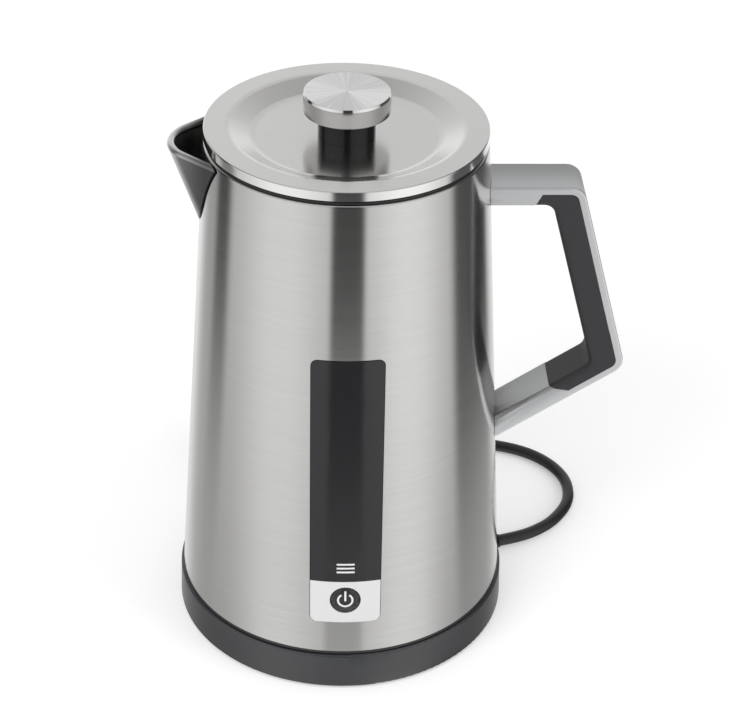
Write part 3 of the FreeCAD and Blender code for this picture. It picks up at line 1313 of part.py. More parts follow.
def coil_place(turn):
    """Point and heading of the coil after a number of turns from its start."""
    turns = value("coil_turns")
    pitch = value("coil_pitch")
    outer = value("coil_radius") + pitch * turns / 4
    lift = value("coil_layer")
    half = turns / 2
    inward = min(turn, turns - turn)
    radius = outer - pitch * inward
    slope = -pitch if turn < half else pitch
    climb = min(1, max(0, (turn - half + 0.25) / 0.5))
    height = value("cord_diameter / 2 + tie_wall + 0.1") + lift * climb
    angle = -math.pi / 2 - 2 * math.pi * turn
    centre = Vector(value("coil_centre_x"), value("coil_front_y") + outer, 0)
    out = Vector(math.cos(angle), math.sin(angle), 0)
    along = Vector(math.sin(angle), -math.cos(angle), 0)
    heading = along * (2 * math.pi * radius)
    if turn not in (0, half, turns):
        heading = heading + out * slope
    if 0 < climb < 1:
        heading = heading + Vector(0, 0, lift / 0.5)
    return centre + out * radius + Vector(0, 0, height), heading.normalize()


def biarc(start, start_heading, end, end_heading):
    """Two arcs that join two points with given headings."""
    span = end - start
    total = start_heading + end_heading
    a = 2 * (start_heading.dot(end_heading) - 1)
    b = -2 * span.dot(total)
    c = span.dot(span)
    root = math.sqrt(b * b - 4 * a * c)
    reach = (-b - root) / (2 * a)
    first = start + start_heading * reach
    second = end - end_heading * reach
    joint = (first + second) * 0.5
    edges = []
    for low, corner, high in ((start, first, joint), (joint, second, end)):
        chord = (low + high) * 0.5
        share = (high - low).Length / 2 / reach
        edges.append(Part.Arc(low, chord + (corner - chord) * (share / (1 + share)), high).toShape())
    return edges


def coil_wire():
    """Centre line of the coil: quarter turns, each a biarc, and a straight end on each side."""
    turns = value("coil_turns")
    stations = [turn / 4 for turn in range(int(round(turns * 4)) + 1)]
    straight = value("cord_diameter")
    first, heading = coil_place(0)
    edges = [Part.LineSegment(first - heading * straight, first).toShape()]
    for low, high in zip(stations, stations[1:]):
        edges += biarc(*coil_place(low), *coil_place(high))
    last, heading = coil_place(turns)
    edges.append(Part.LineSegment(last, last + heading * straight).toShape())
    return Part.Wire(edges)


def coil_self_gap(wire):
    """Least gap between stretches of the coil that are half a turn apart or more."""
    points = wire.discretize(Distance=2.0)
    skip = int(math.pi * value("coil_radius") / 2.0)
    least = min((a - b).Length for i, a in enumerate(points) for b in points[i + skip:])
    return least - value("cord_diameter")


def plug_frame():
    """Where the cord enters the plug; the plug points to -X."""
    return Vector(value("plug_entry_x"), value("coil_front_y"), value("plug_axis_height"))


def tail_points():
    start, heading = coil_place(value("coil_turns"))
    start = start + heading * value("cord_diameter")
    end = plug_frame()
    span = end - start
    return [start, start + Vector(span.x * 0.3, 0, 0.2), start + Vector(span.x * 0.62, 0, span.z * 0.62),
            end + Vector(-span.x * 0.14, 0, -0.3), end]


def make_cords():
    """Free stretch, coil and tail of the power cord, in one piece from base to plug."""
    lead = tube("power_cord", rounded_route(cord_points()))
    wire = coil_wire()
    coil = tube("cord_coil", wire)
    print(f"coil: least gap to itself {coil_self_gap(wire):.2f} mm")
    tail = tube("cord_tail", rounded_route(tail_points()))
    return [lead, coil, tail]


def make_strain_relief():
    """Tapered rubber sleeve with grooves, where the cord leaves the base."""
    body = new_body("strain_relief")
    slope = "(relief_start_radius - relief_end_radius) / relief_length"
    collar = "relief_start_radius + relief_collar"
    corners = [("0", "0"), (collar, "0"), (collar, "2"),
               ("relief_start_radius", "2")]
    for step in range(3):
        place = f"(relief_length - 2.2 - {2 - step} * 2.1)"
        edge = f"(relief_start_radius - {slope} * {place})"
        corners += [(edge, place), (f"{edge} - 0.45", place), (f"{edge} - 0.45", f"{place} + 0.9"),
                    (edge, f"{place} + 0.9")]
    corners += [("relief_end_radius", "relief_length"), ("0", "relief_length")]
    turn_profile(body, "relief_sleeve", [corners])
    tilt = Rotation(Vector(0, 0, 1), value("exit_angle")) * Rotation(Vector(0, 1, 0), 90 + value("relief_pitch"))
    body.Placement = Placement(Vector(), tilt)
    bind(body, Placement__Base__x="relief_start * cos(exit_angle)",
         Placement__Base__y="relief_start * sin(exit_angle)", Placement__Base__z="relief_start_height")
    return body


def make_cord_tie():
    """Strap around the loops, at the far side of the coil."""
    diameter = "cord_diameter"
    outer = f"(coil_radius + coil_pitch * coil_turns / 4 - coil_pitch / 2 + {diameter} / 2 + tie_slack)"
    inner = f"(coil_radius + coil_pitch * coil_turns / 4 - 1.5 * coil_pitch - {diameter} / 2 - tie_slack)"
    top = f"({diameter} + coil_layer + tie_wall + 0.1 + tie_slack)"
    loop = prism("tie_outside", "YZ_Plane", [
        (f"{inner} - tie_wall", "0", "1.5"), (f"{outer} + tie_wall", "0", "1.5"),
        (f"{outer} + tie_wall", f"{top} + tie_wall", "1.5"),
        (f"{inner} - tie_wall", f"{top} + tie_wall", "1.5")], "-tie_width / 2", "tie_width")
    room = prism("tie_inside", "YZ_Plane", [
        (inner, "tie_wall", "0.9"), (outer, "tie_wall", "0.9"), (outer, top, "0.9"), (inner, top, "0.9")],
        "-tie_width", "2 * tie_width")
    tie = cut("cord_tie", loop, room)
    bind(tie, Placement__Base__x="coil_centre_x",
         Placement__Base__y="coil_front_y + coil_radius + coil_pitch * coil_turns / 4")
    return tie


def place_plug(thing):
    """Moves a piece that is drawn along +X from the cord's entry to the plug's place."""
    thing.Placement = Placement(Vector(), Rotation(Vector(0, 0, 1), 180))
    bind(thing, Placement__Base__x="plug_entry_x", Placement__Base__y="coil_front_y",
         Placement__Base__z="plug_axis_height")


PLUG_FACE = "(plug_neck_length + plug_shoulder + plug_head_length)"


def make_plug_body():
    """Moulded mains plug with a ribbed sleeve, two flats and a slot for each earth contact."""
    body = new_body("plug_moulding")
    side = sketch_in(body, "plug_side", "XY_Plane")
    outline(side, [
        ("0", "0"), ("plug_neck_length", "0"), (PLUG_FACE, "0"),
        (PLUG_FACE, "plug_head_radius", "1.2"),
        ("plug_neck_length + plug_shoulder", "plug_head_radius", "5"),
        ("plug_neck_length + 1", "plug_neck_radius + 3.4", "4"), ("0", "plug_neck_radius", "1")])
    turn = body.newObject("PartDesign::Revolution", "plug_turn")
    turn.Profile = side
    turn.ReferenceAxis = (side, ["H_Axis"])
    body.Tip = turn
    tools = []
    for sign, name in ((1, "upper"), (-1, "lower")):
        low = "plug_flat_half" if sign > 0 else "-plug_flat_half - 10"
        tools.append(primitive("Box", name + "_flat", Length=PLUG_FACE + " + 2", Width="60", Height="10",
                               Placement__Base__x="-1", Placement__Base__y="-30", Placement__Base__z=low))
        low = "plug_flat_half - clip_thickness - fit_gap" if sign > 0 else "-plug_flat_half - 1"
        tools.append(primitive(
            "Box", name + "_clip_slot", Length="plug_head_length", Width="clip_width + 2 * fit_gap",
            Height="clip_thickness + fit_gap + 1", Placement__Base__y="-clip_width / 2 - fit_gap",
            Placement__Base__x=PLUG_FACE + " - plug_head_length + 5", Placement__Base__z=low))
    whole = cut("plug_body", body, *tools)
    place_plug(whole)
    return whole


def make_plug_pins():
    """Two round pins with rounded ends."""
    pins = []
    for sign in (1, -1):
        body = new_body(f"pin_{'left' if sign > 0 else 'right'}")
        side = sketch_in(body, body.Name + "_side", "XY_Plane")
        outline(side, [("0", "0"), ("pin_length", "0"), ("pin_length", "pin_radius", "pin_radius * 0.6"),
                       ("0", "pin_radius")])
        turn = body.newObject("PartDesign::Revolution", body.Name + "_turn")
        turn.Profile = side
        turn.ReferenceAxis = (side, ["H_Axis"])
        body.Tip = turn
        bind(body, Placement__Base__x=PLUG_FACE, Placement__Base__y=f"{sign} * pin_spacing / 2")
        pins.append(body)
    whole = group("plug_pins", *pins)
    place_plug(whole)
    return whole


def make_earth_clips():
    """Spring contacts in the plug's two flats."""
    clips = []
    for sign, name in ((1, "upper"), (-1, "lower")):
        low = "plug_flat_half - clip_thickness" if sign > 0 else "-plug_flat_half"
        clips.append(primitive(
            "Box", name + "_clip", Length="plug_head_length - 5 - fit_gap", Width="clip_width",
            Height="clip_thickness", Placement__Base__y="-clip_width / 2",
            Placement__Base__x=PLUG_FACE + " - plug_head_length + 5 + fit_gap", Placement__Base__z=low))
    whole = group("plug_earth_clips", *clips)
    place_plug(whole)
    return whole


def build():
    nodes = [
        make_base_housing(), make_base_plate(), make_base_feet(), make_base_screws(),
        make_connector_base(), make_strain_relief(), make_connector_post(), make_contact_rings(),
        make_bottom_cover(), make_cover_screws(), make_pot_studs(), make_connector_socket(),
        make_controller_bracket(), make_heater_plate(), make_heating_element(),
        make_temperature_probe(), make_outer_shell(), make_inner_pot(), make_port_sleeve(),
        make_spout_filter(), make_spout(), make_display_lens(), make_indicator_bars(),
        make_button_plate(), make_power_button(), make_panel_frame(), make_display_board(),
        make_button_switch(), make_handle_frame(), make_handle_grip(), make_handle_brackets(),
        make_handle_screws(), make_lid_cap(), make_lid_liner(), make_lid_gasket(),
        make_knob_neck(), make_knob_cap(), make_knob_screw(), *make_cords(), make_cord_tie(),
        make_plug_body(), make_plug_pins(), make_earth_clips()]
    DOC.recompute()
    return nodes


def check_and_export(nodes):
    """Stops on any failed object or bad solid, then writes one file per sub-part."""
    for thing in DOC.Objects:
        if {"Invalid", "Error"} & set(thing.State):
            raise RuntimeError(f"{thing.Label} failed: {thing.State}")
    os.makedirs("parts", exist_ok=True)
    for node in nodes:
        shape = node.Shape
        if shape.isNull() or not shape.isValid() or not shape.Solids:
            raise RuntimeError(f"{node.Label} has no valid solid")
        shape.exportStep(f"parts/{node.Label}.step")
        box = shape.optimalBoundingBox(False)
        print(f"{node.Label}: {len(shape.Solids)} solid(s), {shape.Volume:.0f} mm3, "
              f"z {box.ZMin:.2f} to {box.ZMax:.2f}")


check_and_export(build())
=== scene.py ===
# %% [markdown]
# # A steel kettle on its power base
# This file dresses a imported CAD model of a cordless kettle. The CAD model holds the true sizes and
# everything that moves. Here each visible surface gets its final shape and its finish: brushed steel,
# glossy black, matte plastic, rubber. Lengths are in metres, in the CAD model's own frame: the origin
# is under the middle of the base, +Z is up and the display looks towards -Y. Only the outlines of
# turned pieces are written in millimetres, as a lathe worker would have them.

# %% Load the frame
import bmesh
import bpy
import math
from mathutils import Matrix, Vector


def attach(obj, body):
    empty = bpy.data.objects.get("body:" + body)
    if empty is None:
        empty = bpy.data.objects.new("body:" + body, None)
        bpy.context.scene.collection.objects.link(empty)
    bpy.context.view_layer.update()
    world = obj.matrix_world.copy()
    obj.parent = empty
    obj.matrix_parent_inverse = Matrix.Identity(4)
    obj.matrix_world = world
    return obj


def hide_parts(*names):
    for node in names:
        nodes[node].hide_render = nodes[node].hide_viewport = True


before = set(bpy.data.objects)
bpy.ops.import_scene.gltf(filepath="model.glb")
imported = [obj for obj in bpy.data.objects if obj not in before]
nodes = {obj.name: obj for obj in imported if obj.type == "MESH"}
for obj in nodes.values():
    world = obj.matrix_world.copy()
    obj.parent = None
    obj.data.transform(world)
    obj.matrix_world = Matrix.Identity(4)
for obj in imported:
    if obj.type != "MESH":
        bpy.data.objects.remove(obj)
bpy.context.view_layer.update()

# %% [markdown]
# ## The camera
# The camera stands a little left of the middle, 0.85 m in front and 0.68 m high, and looks down by
# about 33 degrees. A long lens keeps the tapered body almost free of perspective. The three directions
# below are the picture's right, up and backward; as the columns of a matrix they turn a camera from its
# rest attitude. Standard view transform leaves a colour as it is written.

# %% Place the camera
EYE = Vector((-0.025867, -0.846648, 0.676655))
RIGHT = Vector((0.99920272, -0.0349216, 0.01934955))
UP = Vector((0.00260372, 0.54062806, 0.8412577))
BACK = RIGHT.cross(UP)
FOCAL_LENGTH = 106.34  # millimetres, on a sensor 36 mm wide

lens = bpy.data.cameras.new("photo_lens")
lens.lens = FOCAL_LENGTH
lens.sensor_width = 36
camera = bpy.data.objects.new("photo_camera", lens)
bpy.context.scene.collection.objects.link(camera)
camera.matrix_world = Matrix.Translation(EYE) @ Matrix((RIGHT, UP, BACK)).transposed().to_4x4()
bpy.context.scene.camera = camera
bpy.context.scene.view_settings.view_transform = "Standard"
print("camera distance:", round(EYE.length, 3))

# %% [markdown]
# ## Node helpers
# A shader could be wired by hand in the editor. In a script three short helpers keep it readable: one
# adds a node, one adds a sum, and one adds a soft ramp. A number given to them is typed into the
# node's own field, and a socket is linked.

# %% Node helpers
def add_node(tree, kind, **settings):
    """Adds a shader node; a setting is an input's name, or a property of the node."""
    node = tree.nodes.new("ShaderNode" + kind)
    for name, value in settings.items():
        if hasattr(node, name):
            setattr(node, name, value)
        else:
            node.inputs[name.replace("_", " ")].default_value = value
    return node


def maths(tree, operation, first, second=None):
    """A Math node whose inputs are sockets or numbers."""
    node = tree.nodes.new("ShaderNodeMath")
    node.operation = operation
    for socket, source in zip(node.inputs, (first, second)):
        if source is None:
            continue
        if isinstance(source, bpy.types.NodeSocket):
            tree.links.new(source, socket)
        else:
            socket.default_value = source
    return node.outputs[0]


def ramp_between(tree, source, low, high, start=0.0, end=1.0):
    """A smooth change from start to end while the source goes from low to high."""
    node = tree.nodes.new("ShaderNodeMapRange")
    node.interpolation_type = "SMOOTHSTEP"
    tree.links.new(source, node.inputs["Value"])
    for name, value in (("From Min", low), ("From Max", high), ("To Min", start), ("To Max", end)):
        node.inputs[name].default_value = value
    return node.outputs["Result"]


# %% [markdown]
# ## The studio
# Polished metal has hardly any colour of its own: it shows the room. A product photographer stands
# such a kettle between large white panels and leaves narrow dark gaps between them, which draw the
# dark upright bands on the steel. Real panels could be modelled, but they would have to be kept out of
# every other view. A world shader can be that room without standing in anyone's way. Two angles name
# each direction: around, which is 0 towards -Y and grows towards +X, and height above the horizon.

# %% Panels, gaps, table and ceiling of the room
# middle of the gap and half its width in degrees, softness of its edges, how dark it is, how it ends
DARK_GAPS = (
    (0.5, 12.5, 2.5, 0.93, "tall"),
    (112.5, 24.5, 5.0, 0.85, "wide"),
    (-109.0, 9.5, 5.0, 0.93, "short"),
    (-128.0, 10.0, 9.0, 0.32, "short"),
)
# angle, from, to, and the light at both ends; "out" is around without its sign
LIGHT_RAMPS = (
    ("around", -40, 40, 0.93, 1.0),  # the left panel is a little dimmer
    ("out", 8, 45, 0.75, 1.0),  # both are brightest halfway to the sides
    ("out", 55, 100, 1.0, 0.66),  # and dimmer at their ends
    ("out", 130, 158, 1.0, 1.75),  # the wall behind is bright again
    ("around", 45, 85, 1.0, 0.88),
    ("height", -34, -22, 0.82, 1.0),  # the panels' feet
    ("height", 10, 28, 1.05, 0.76),  # and their tops
    ("height", -44, -36, 1.4, 1.0),  # the white table below
)


def room_light(tree, around, height):
    """How bright the room is in each direction."""
    out = maths(tree, "ABSOLUTE", around)
    angles = {"around": around, "out": out, "height": height}
    foot = ramp_between(tree, height, -32, -27)
    wide = maths(tree, "MULTIPLY", foot, ramp_between(tree, height, 35, 60, 1, 0))
    gap_reach = {
        "wide": wide,
        "short": maths(tree, "MULTIPLY", wide, ramp_between(tree, height, -31, -21)),
        "tall": maths(tree, "MULTIPLY", foot, ramp_between(tree, height, 74, 86, 1, 0)),
    }
    factors = [ramp_between(tree, angles[angle], *rest) for angle, *rest in LIGHT_RAMPS]
    for middle, half, soft, depth, ending in DARK_GAPS:
        away = maths(tree, "ABSOLUTE", maths(tree, "SUBTRACT", around, middle))
        dark = ramp_between(tree, away, half - soft, half + soft, depth, 0.0)
        factors.append(maths(tree, "SUBTRACT", 1.0, maths(tree, "MULTIPLY", dark, gap_reach[ending])))
    # the table has a dark end at either side
    side = maths(tree, "ABSOLUTE", maths(tree, "SUBTRACT", out, 105.0))
    table_end = maths(tree, "MULTIPLY", ramp_between(tree, side, 20, 45, 0.80, 0.0),
                      ramp_between(tree, height, -44, -36, 1.0, 0.0))
    level = maths(tree, "SUBTRACT", 1.0, table_end)
    for factor in factors:
        level = maths(tree, "MULTIPLY", level, factor)
    # the ceiling takes over high up, brighter in front than behind
    ceiling = ramp_between(tree, height, 45, 75)
    panels = maths(tree, "MULTIPLY", level, maths(tree, "SUBTRACT", 1.0, ceiling))
    above = maths(tree, "MULTIPLY", ceiling, ramp_between(tree, out, 70, 120, 0.8, 0.46))
    return maths(tree, "ADD", panels, above)


# %% [markdown]
# Three kinds of ray ask the world for light. Glossy rays see the room with its panels. Diffuse rays
# see an even soft light, so that plastic and paper aren't striped. Camera rays see plain white, which
# is the picture's background.

# %% The world shader
def studio_world():
    """Makes the room, the even light and the white background, and chooses between them by ray."""
    world = bpy.data.worlds.new("studio")
    world.use_nodes = True
    tree = world.node_tree
    tree.nodes.clear()
    coordinate = add_node(tree, "TexCoord")
    parts = add_node(tree, "SeparateXYZ")
    tree.links.new(coordinate.outputs["Generated"], parts.inputs[0])
    front = maths(tree, "MULTIPLY", parts.outputs["Y"], -1.0)
    degrees = 180 / math.pi
    around = maths(tree, "MULTIPLY", maths(tree, "ARCTAN2", parts.outputs["X"], front), degrees)
    height = maths(tree, "MULTIPLY", maths(tree, "ARCSINE", parts.outputs["Z"]), degrees)

    room = add_node(tree, "Background")
    tree.links.new(room_light(tree, around, height), room.inputs["Strength"])
    even = add_node(tree, "Background", Strength=0.62)
    white = add_node(tree, "Background", Strength=1.0)
    for background in (room, even, white):
        background.inputs["Color"].default_value = (1, 1, 1, 1)
    path = add_node(tree, "LightPath")
    shader = even.outputs[0]
    for ray, background in (("Is Glossy Ray", room), ("Is Camera Ray", white)):
        choice = add_node(tree, "MixShader")
        tree.links.new(path.outputs[ray], choice.inputs[0])
        tree.links.new(shader, choice.inputs[1])
        tree.links.new(background.outputs[0], choice.inputs[2])
        shader = choice.outputs[0]
    output = add_node(tree, "OutputWorld")
    tree.links.new(shader, output.inputs["Surface"])
    bpy.context.scene.world = world
    print("studio nodes:", len(tree.nodes))


studio_world()

# %% [markdown]
# ## Lamps and floor
# Two large soft lamps give the plastic and the floor their shading and the soft shadow beside the
# base. They are hidden from glossy rays, because the steel already shows the panels of the world. The
# floor is white paper. It glows a little for the camera alone, so that it runs into the background.

# %% Soft lamps
def soft_lamp(name, place, aim, size, power):
    """A rectangular lamp at a place, turned towards another."""
    lamp = bpy.data.lights.new(name, "AREA")
    lamp.shape = "RECTANGLE"
    lamp.size, lamp.size_y = size
    lamp.energy = power
    thing = bpy.data.objects.new(name, lamp)
    bpy.context.scene.collection.objects.link(thing)
    direction = Vector(aim) - Vector(place)
    turn = direction.to_track_quat("-Z", "Y").to_matrix().to_4x4()
    thing.matrix_world = Matrix.Translation(place) @ turn
    thing.visible_glossy = False
    print(name, "at", round(direction.length, 2), "m,", power, "W")


KETTLE_MIDDLE = (0, 0, 0.1)
soft_lamp("key_panel", (-1.1, -1.3, 1.5), KETTLE_MIDDLE, (1.2, 1.2), 17)
soft_lamp("fill_panel", (1.5, -0.9, 1.0), KETTLE_MIDDLE, (1.0, 1.2), 9)


# %% Paper floor
def paper_floor():
    """A large sheet at z = 0: diffuse white, with a glow that only camera rays see."""
    shape = bmesh.new()
    bmesh.ops.create_grid(shape, x_segments=1, y_segments=1, size=4.0)
    mesh = bpy.data.meshes.new("paper_floor")
    shape.to_mesh(mesh)
    shape.free()
    floor = bpy.data.objects.new("paper_floor", mesh)
    bpy.context.scene.collection.objects.link(floor)
    material = bpy.data.materials.new("white_paper")
    material.use_nodes = True
    tree = material.node_tree
    tree.nodes.clear()
    paper = add_node(tree, "BsdfDiffuse", Color=(0.86, 0.86, 0.86, 1))
    glow = add_node(tree, "Emission", Strength=0.34)
    path = add_node(tree, "LightPath")
    own_light = add_node(tree, "MixShader")
    tree.links.new(path.outputs["Is Camera Ray"], own_light.inputs[0])
    tree.links.new(glow.outputs[0], own_light.inputs[2])
    both = add_node(tree, "AddShader")
    tree.links.new(paper.outputs[0], both.inputs[0])
    tree.links.new(own_light.outputs[0], both.inputs[1])
    output = add_node(tree, "OutputMaterial")
    tree.links.new(both.outputs[0], output.inputs["Surface"])
    mesh.materials.append(material)
    floor.visible_glossy = False
    print("floor:", tuple(floor.dimensions))


paper_floor()

# %% [markdown]
# ## Grain and texture
# Two effects serve many finishes. Drawn grain is what abrasive belts leave on steel: long thin
# scratches, so a noise texture is squeezed across the scratches and stretched along them. Moulded
# texture is what a spark-eroded mould leaves on plastic: fine even pits. Each is a node group, built
# once, with a tone that multiplies the colour, a roughness, and a height for a Bump node.

# %% Node groups
def texture_group(name, pattern):
    """A group around a pattern, which is a function that gives a variation and a height."""
    group = bpy.data.node_groups.new(name, "ShaderNodeTree")
    group.interface.new_socket("Vector", in_out="INPUT", socket_type="NodeSocketVector")
    for label, value in (("Contrast", 0.1), ("Roughness", 0.3), ("Spread", 0.05)):
        socket = group.interface.new_socket(label, in_out="INPUT", socket_type="NodeSocketFloat")
        socket.default_value = value
    for label in ("Tone", "Roughness", "Height"):
        group.interface.new_socket(label, in_out="OUTPUT", socket_type="NodeSocketFloat")
    inside, outside = group.nodes.new("NodeGroupInput"), group.nodes.new("NodeGroupOutput")
    variation, height = pattern(group, inside.outputs["Vector"])
    centred = maths(group, "SUBTRACT", variation, 0.5)
    for label, middle, amount in (("Tone", 1.0, "Contrast"),
                                  ("Roughness", inside.outputs["Roughness"], "Spread")):
        change = maths(group, "MULTIPLY", centred, inside.outputs[amount])
        group.links.new(maths(group, "ADD", middle, change), outside.inputs[label])
    group.links.new(height, outside.inputs["Height"])
    print(name, "has", len(group.nodes), "nodes")
    return group


def scratches(group, place):
    """Fine scratches, with broader streaks among them."""
    fine = add_node(group, "TexNoise", Scale=1.0, Detail=3.0, Roughness=0.65)
    broad = add_node(group, "TexNoise", Scale=0.16, Detail=2.0, Roughness=0.5)
    for texture in (fine, broad):
        group.links.new(place, texture.inputs["Vector"])
    mixed = maths(group, "ADD", maths(group, "MULTIPLY", fine.outputs[0], 0.65),
                  maths(group, "MULTIPLY", broad.outputs[0], 0.35))
    return mixed, mixed


def mould_pits(group, place):
    """Small pits, with a slow cloudy change of tone."""
    pits = add_node(group, "TexVoronoi", Scale=1.0)
    cloud = add_node(group, "TexNoise", Scale=0.02, Detail=4.0, Roughness=0.6)
    for texture in (pits, cloud):
        group.links.new(place, texture.inputs["Vector"])
    return cloud.outputs[0], pits.outputs["Distance"]


GRAIN = texture_group("drawn_grain", scratches)
MOULD = texture_group("moulded_texture", mould_pits)

# %% [markdown]
# ## Two families of finish
# Steel is a metal shader whose highlight is stretched across its scratches: that is its anisotropy,
# and the tangent says in which direction it smears. A turned face smears outwards from its middle.
# Plastic and rubber are not metal; their mould texture and how sharply they shine tell them apart.

# %% Finish helpers
def start_material(name):
    """An empty material with one Principled shader."""
    material = bpy.data.materials.new(name)
    material.use_nodes = True
    tree = material.node_tree
    tree.nodes.clear()
    shader = add_node(tree, "BsdfPrincipled")
    output = add_node(tree, "OutputMaterial")
    tree.links.new(shader.outputs[0], output.inputs["Surface"])
    return material, tree, shader


def textured(tree, shader, group, colour, scale, contrast, roughness, spread, bump):
    """Feeds colour, roughness and normal of a shader from one of the two groups."""
    coordinate = add_node(tree, "TexCoord")
    mapping = add_node(tree, "Mapping", Scale=scale)
    tree.links.new(coordinate.outputs["Object"], mapping.inputs["Vector"])
    effect = tree.nodes.new("ShaderNodeGroup")
    effect.node_tree = group
    tree.links.new(mapping.outputs[0], effect.inputs["Vector"])
    for name, value in (("Contrast", contrast), ("Roughness", roughness), ("Spread", spread)):
        effect.inputs[name].default_value = value
    tint = add_node(tree, "VectorMath", operation="SCALE")
    tint.inputs[0].default_value = colour
    tree.links.new(effect.outputs["Tone"], tint.inputs["Scale"])
    tree.links.new(tint.outputs[0], shader.inputs["Base Color"])
    tree.links.new(effect.outputs["Roughness"], shader.inputs["Roughness"])
    relief = add_node(tree, "Bump", Strength=bump[0], Distance=bump[1])
    tree.links.new(effect.outputs["Height"], relief.inputs["Height"])
    tree.links.new(relief.outputs[0], shader.inputs["Normal"])


def steel(name, colour, scale, roughness, contrast=0.12, spread=0.06, anisotropy=0.0, smear=None,
          bump=(0.08, 0.00002)):
    """Drawn steel; smear is the direction across the scratches, or "radial" from the Z axis."""
    material, tree, shader = start_material(name)
    textured(tree, shader, GRAIN, colour, scale, contrast, roughness, spread, bump)
    shader.inputs["Metallic"].default_value = 1.0
    shader.inputs["Anisotropic"].default_value = anisotropy
    if smear:
        turn = add_node(tree, "VectorTransform", vector_type="VECTOR", convert_from="OBJECT",
                        convert_to="WORLD")
        tree.links.new(turn.outputs[0], shader.inputs["Tangent"])
        if smear == "radial":
            coordinate = add_node(tree, "TexCoord")
            level = add_node(tree, "VectorMath", operation="MULTIPLY")
            level.inputs[1].default_value = (1, 1, 0)
            tree.links.new(coordinate.outputs["Object"], level.inputs[0])
            tree.links.new(level.outputs[0], turn.inputs[0])
        else:
            turn.inputs[0].default_value = smear
    return material


def moulded(name, colour, roughness, scale=2600.0, contrast=0.2, spread=0.1, bump=(0.15, 0.00004),
            specular=0.5):
    """Plastic or rubber with the fine texture of its mould."""
    material, tree, shader = start_material(name)
    textured(tree, shader, MOULD, colour, (scale,) * 3, contrast, roughness, spread, bump)
    shader.inputs["Specular IOR Level"].default_value = specular
    return material


# %% [markdown]
# ## Painted light that follows the piece
# A few pieces have light and shade painted into their colour. The spout is a folded sheet with a
# painted reflection that darkens it towards the shell, and a black line of sealant in the joint. The
# turned face of the knob has painted highlights in fans. The flat sides of the handle are painted
# lighter than the rim round them, and the rim lighter towards the front, as painted light. Each tone
# is worked out from the place on the piece itself, so it stays with the piece when the jug turns.

# %% Tone helpers
# the shell is a cone: its radius at the rim, the rim's height, and how much it widens per metre down
SHELL_TOP_RADIUS, SHELL_TOP, SHELL_SLOPE = 0.0614, 0.2427, 0.06213


def object_place(tree, axis):
    """One coordinate of the point on the object, in metres."""
    coordinate = add_node(tree, "TexCoord")
    parts = add_node(tree, "SeparateXYZ")
    tree.links.new(coordinate.outputs["Object"], parts.inputs[0])
    return parts.outputs[axis]


def shaded(material, factor):
    """Multiplies a finish's colour by factor(tree), which varies over the piece."""
    tree = material.node_tree
    shader = next(node for node in tree.nodes if node.type == "BSDF_PRINCIPLED")
    tint = add_node(tree, "VectorMath", operation="SCALE")
    tree.links.new(shader.inputs["Base Color"].links[0].from_socket, tint.inputs[0])
    tree.links.new(factor(tree), tint.inputs["Scale"])
    tree.links.new(tint.outputs[0], shader.inputs["Base Color"])
    return material


def painted_spout_reflection_and_seam(tree):
    """Painted reflection, darker towards the shell, and a black seam where the sheet stands less than 0.7
    mm off its cone.
    """
    across = ramp_between(tree, object_place(tree, "X"), -0.0765, -0.0585, 1.15, 0.36)
    square = maths(tree, "ADD", maths(tree, "POWER", object_place(tree, "X"), 2.0),
                   maths(tree, "POWER", object_place(tree, "Y"), 2.0))
    cone = maths(tree, "ADD", SHELL_TOP_RADIUS + SHELL_SLOPE * SHELL_TOP,
                 maths(tree, "MULTIPLY", object_place(tree, "Z"), -SHELL_SLOPE))
    proud = maths(tree, "SUBTRACT", maths(tree, "SQRT", square), cone)
    return maths(tree, "MULTIPLY", across, ramp_between(tree, proud, 0.0005, 0.0009, 0.03, 1.0))


def painted_fan_highlights(tree):
    """Painted highlights: broad fans that run out from the middle, with fine streaks among them."""
    angle = maths(tree, "ARCTAN2", object_place(tree, "Y"), object_place(tree, "X"))
    tone = 0.98
    for waves, shift, share in ((2.0, 0.9, 0.08), (3.0, 2.1, 0.05), (7.0, 0.4, 0.025)):
        turned = maths(tree, "ADD", maths(tree, "MULTIPLY", angle, waves), shift)
        tone = maths(tree, "ADD", tone, maths(tree, "MULTIPLY", maths(tree, "COSINE", turned), share))
    streaks = add_node(tree, "TexNoise", noise_dimensions="1D", Scale=9.0, Detail=4.0, Roughness=0.7)
    tree.links.new(angle, streaks.inputs["W"])
    fine = maths(tree, "MULTIPLY", maths(tree, "SUBTRACT", streaks.outputs[0], 0.5), 0.35)
    return maths(tree, "ADD", tone, fine)


def painted_handle_side_light(tree):
    """Painted light: lighter on the flat sides, past 11 mm from the middle plane, and darker on the rim
    between.
    """
    away = maths(tree, "ABSOLUTE", object_place(tree, "Y"))
    side = ramp_between(tree, away, 0.01105, 0.0115)
    # painted light: the rim grows lighter towards the front
    rim = ramp_between(tree, object_place(tree, "Y"), 0.010, -0.011, 0.80, 1.25)
    return maths(tree, "ADD", maths(tree, "MULTIPLY", side, 2.1),
                 maths(tree, "MULTIPLY", maths(tree, "SUBTRACT", 1.0, side), rim))


# %% [markdown]
# ## The steels
# The body is drawn round its axis, so its scratches are level and its reflections smear up and down.
# The lid is drawn in straight lines from left to right. The knob's side is nearly polished and its
# face is turned. The handle is cast and blasted, so it has no direction at all. After the colour come
# the scale of the grain along X, Y and Z and the roughness, then contrast, spread and anisotropy.

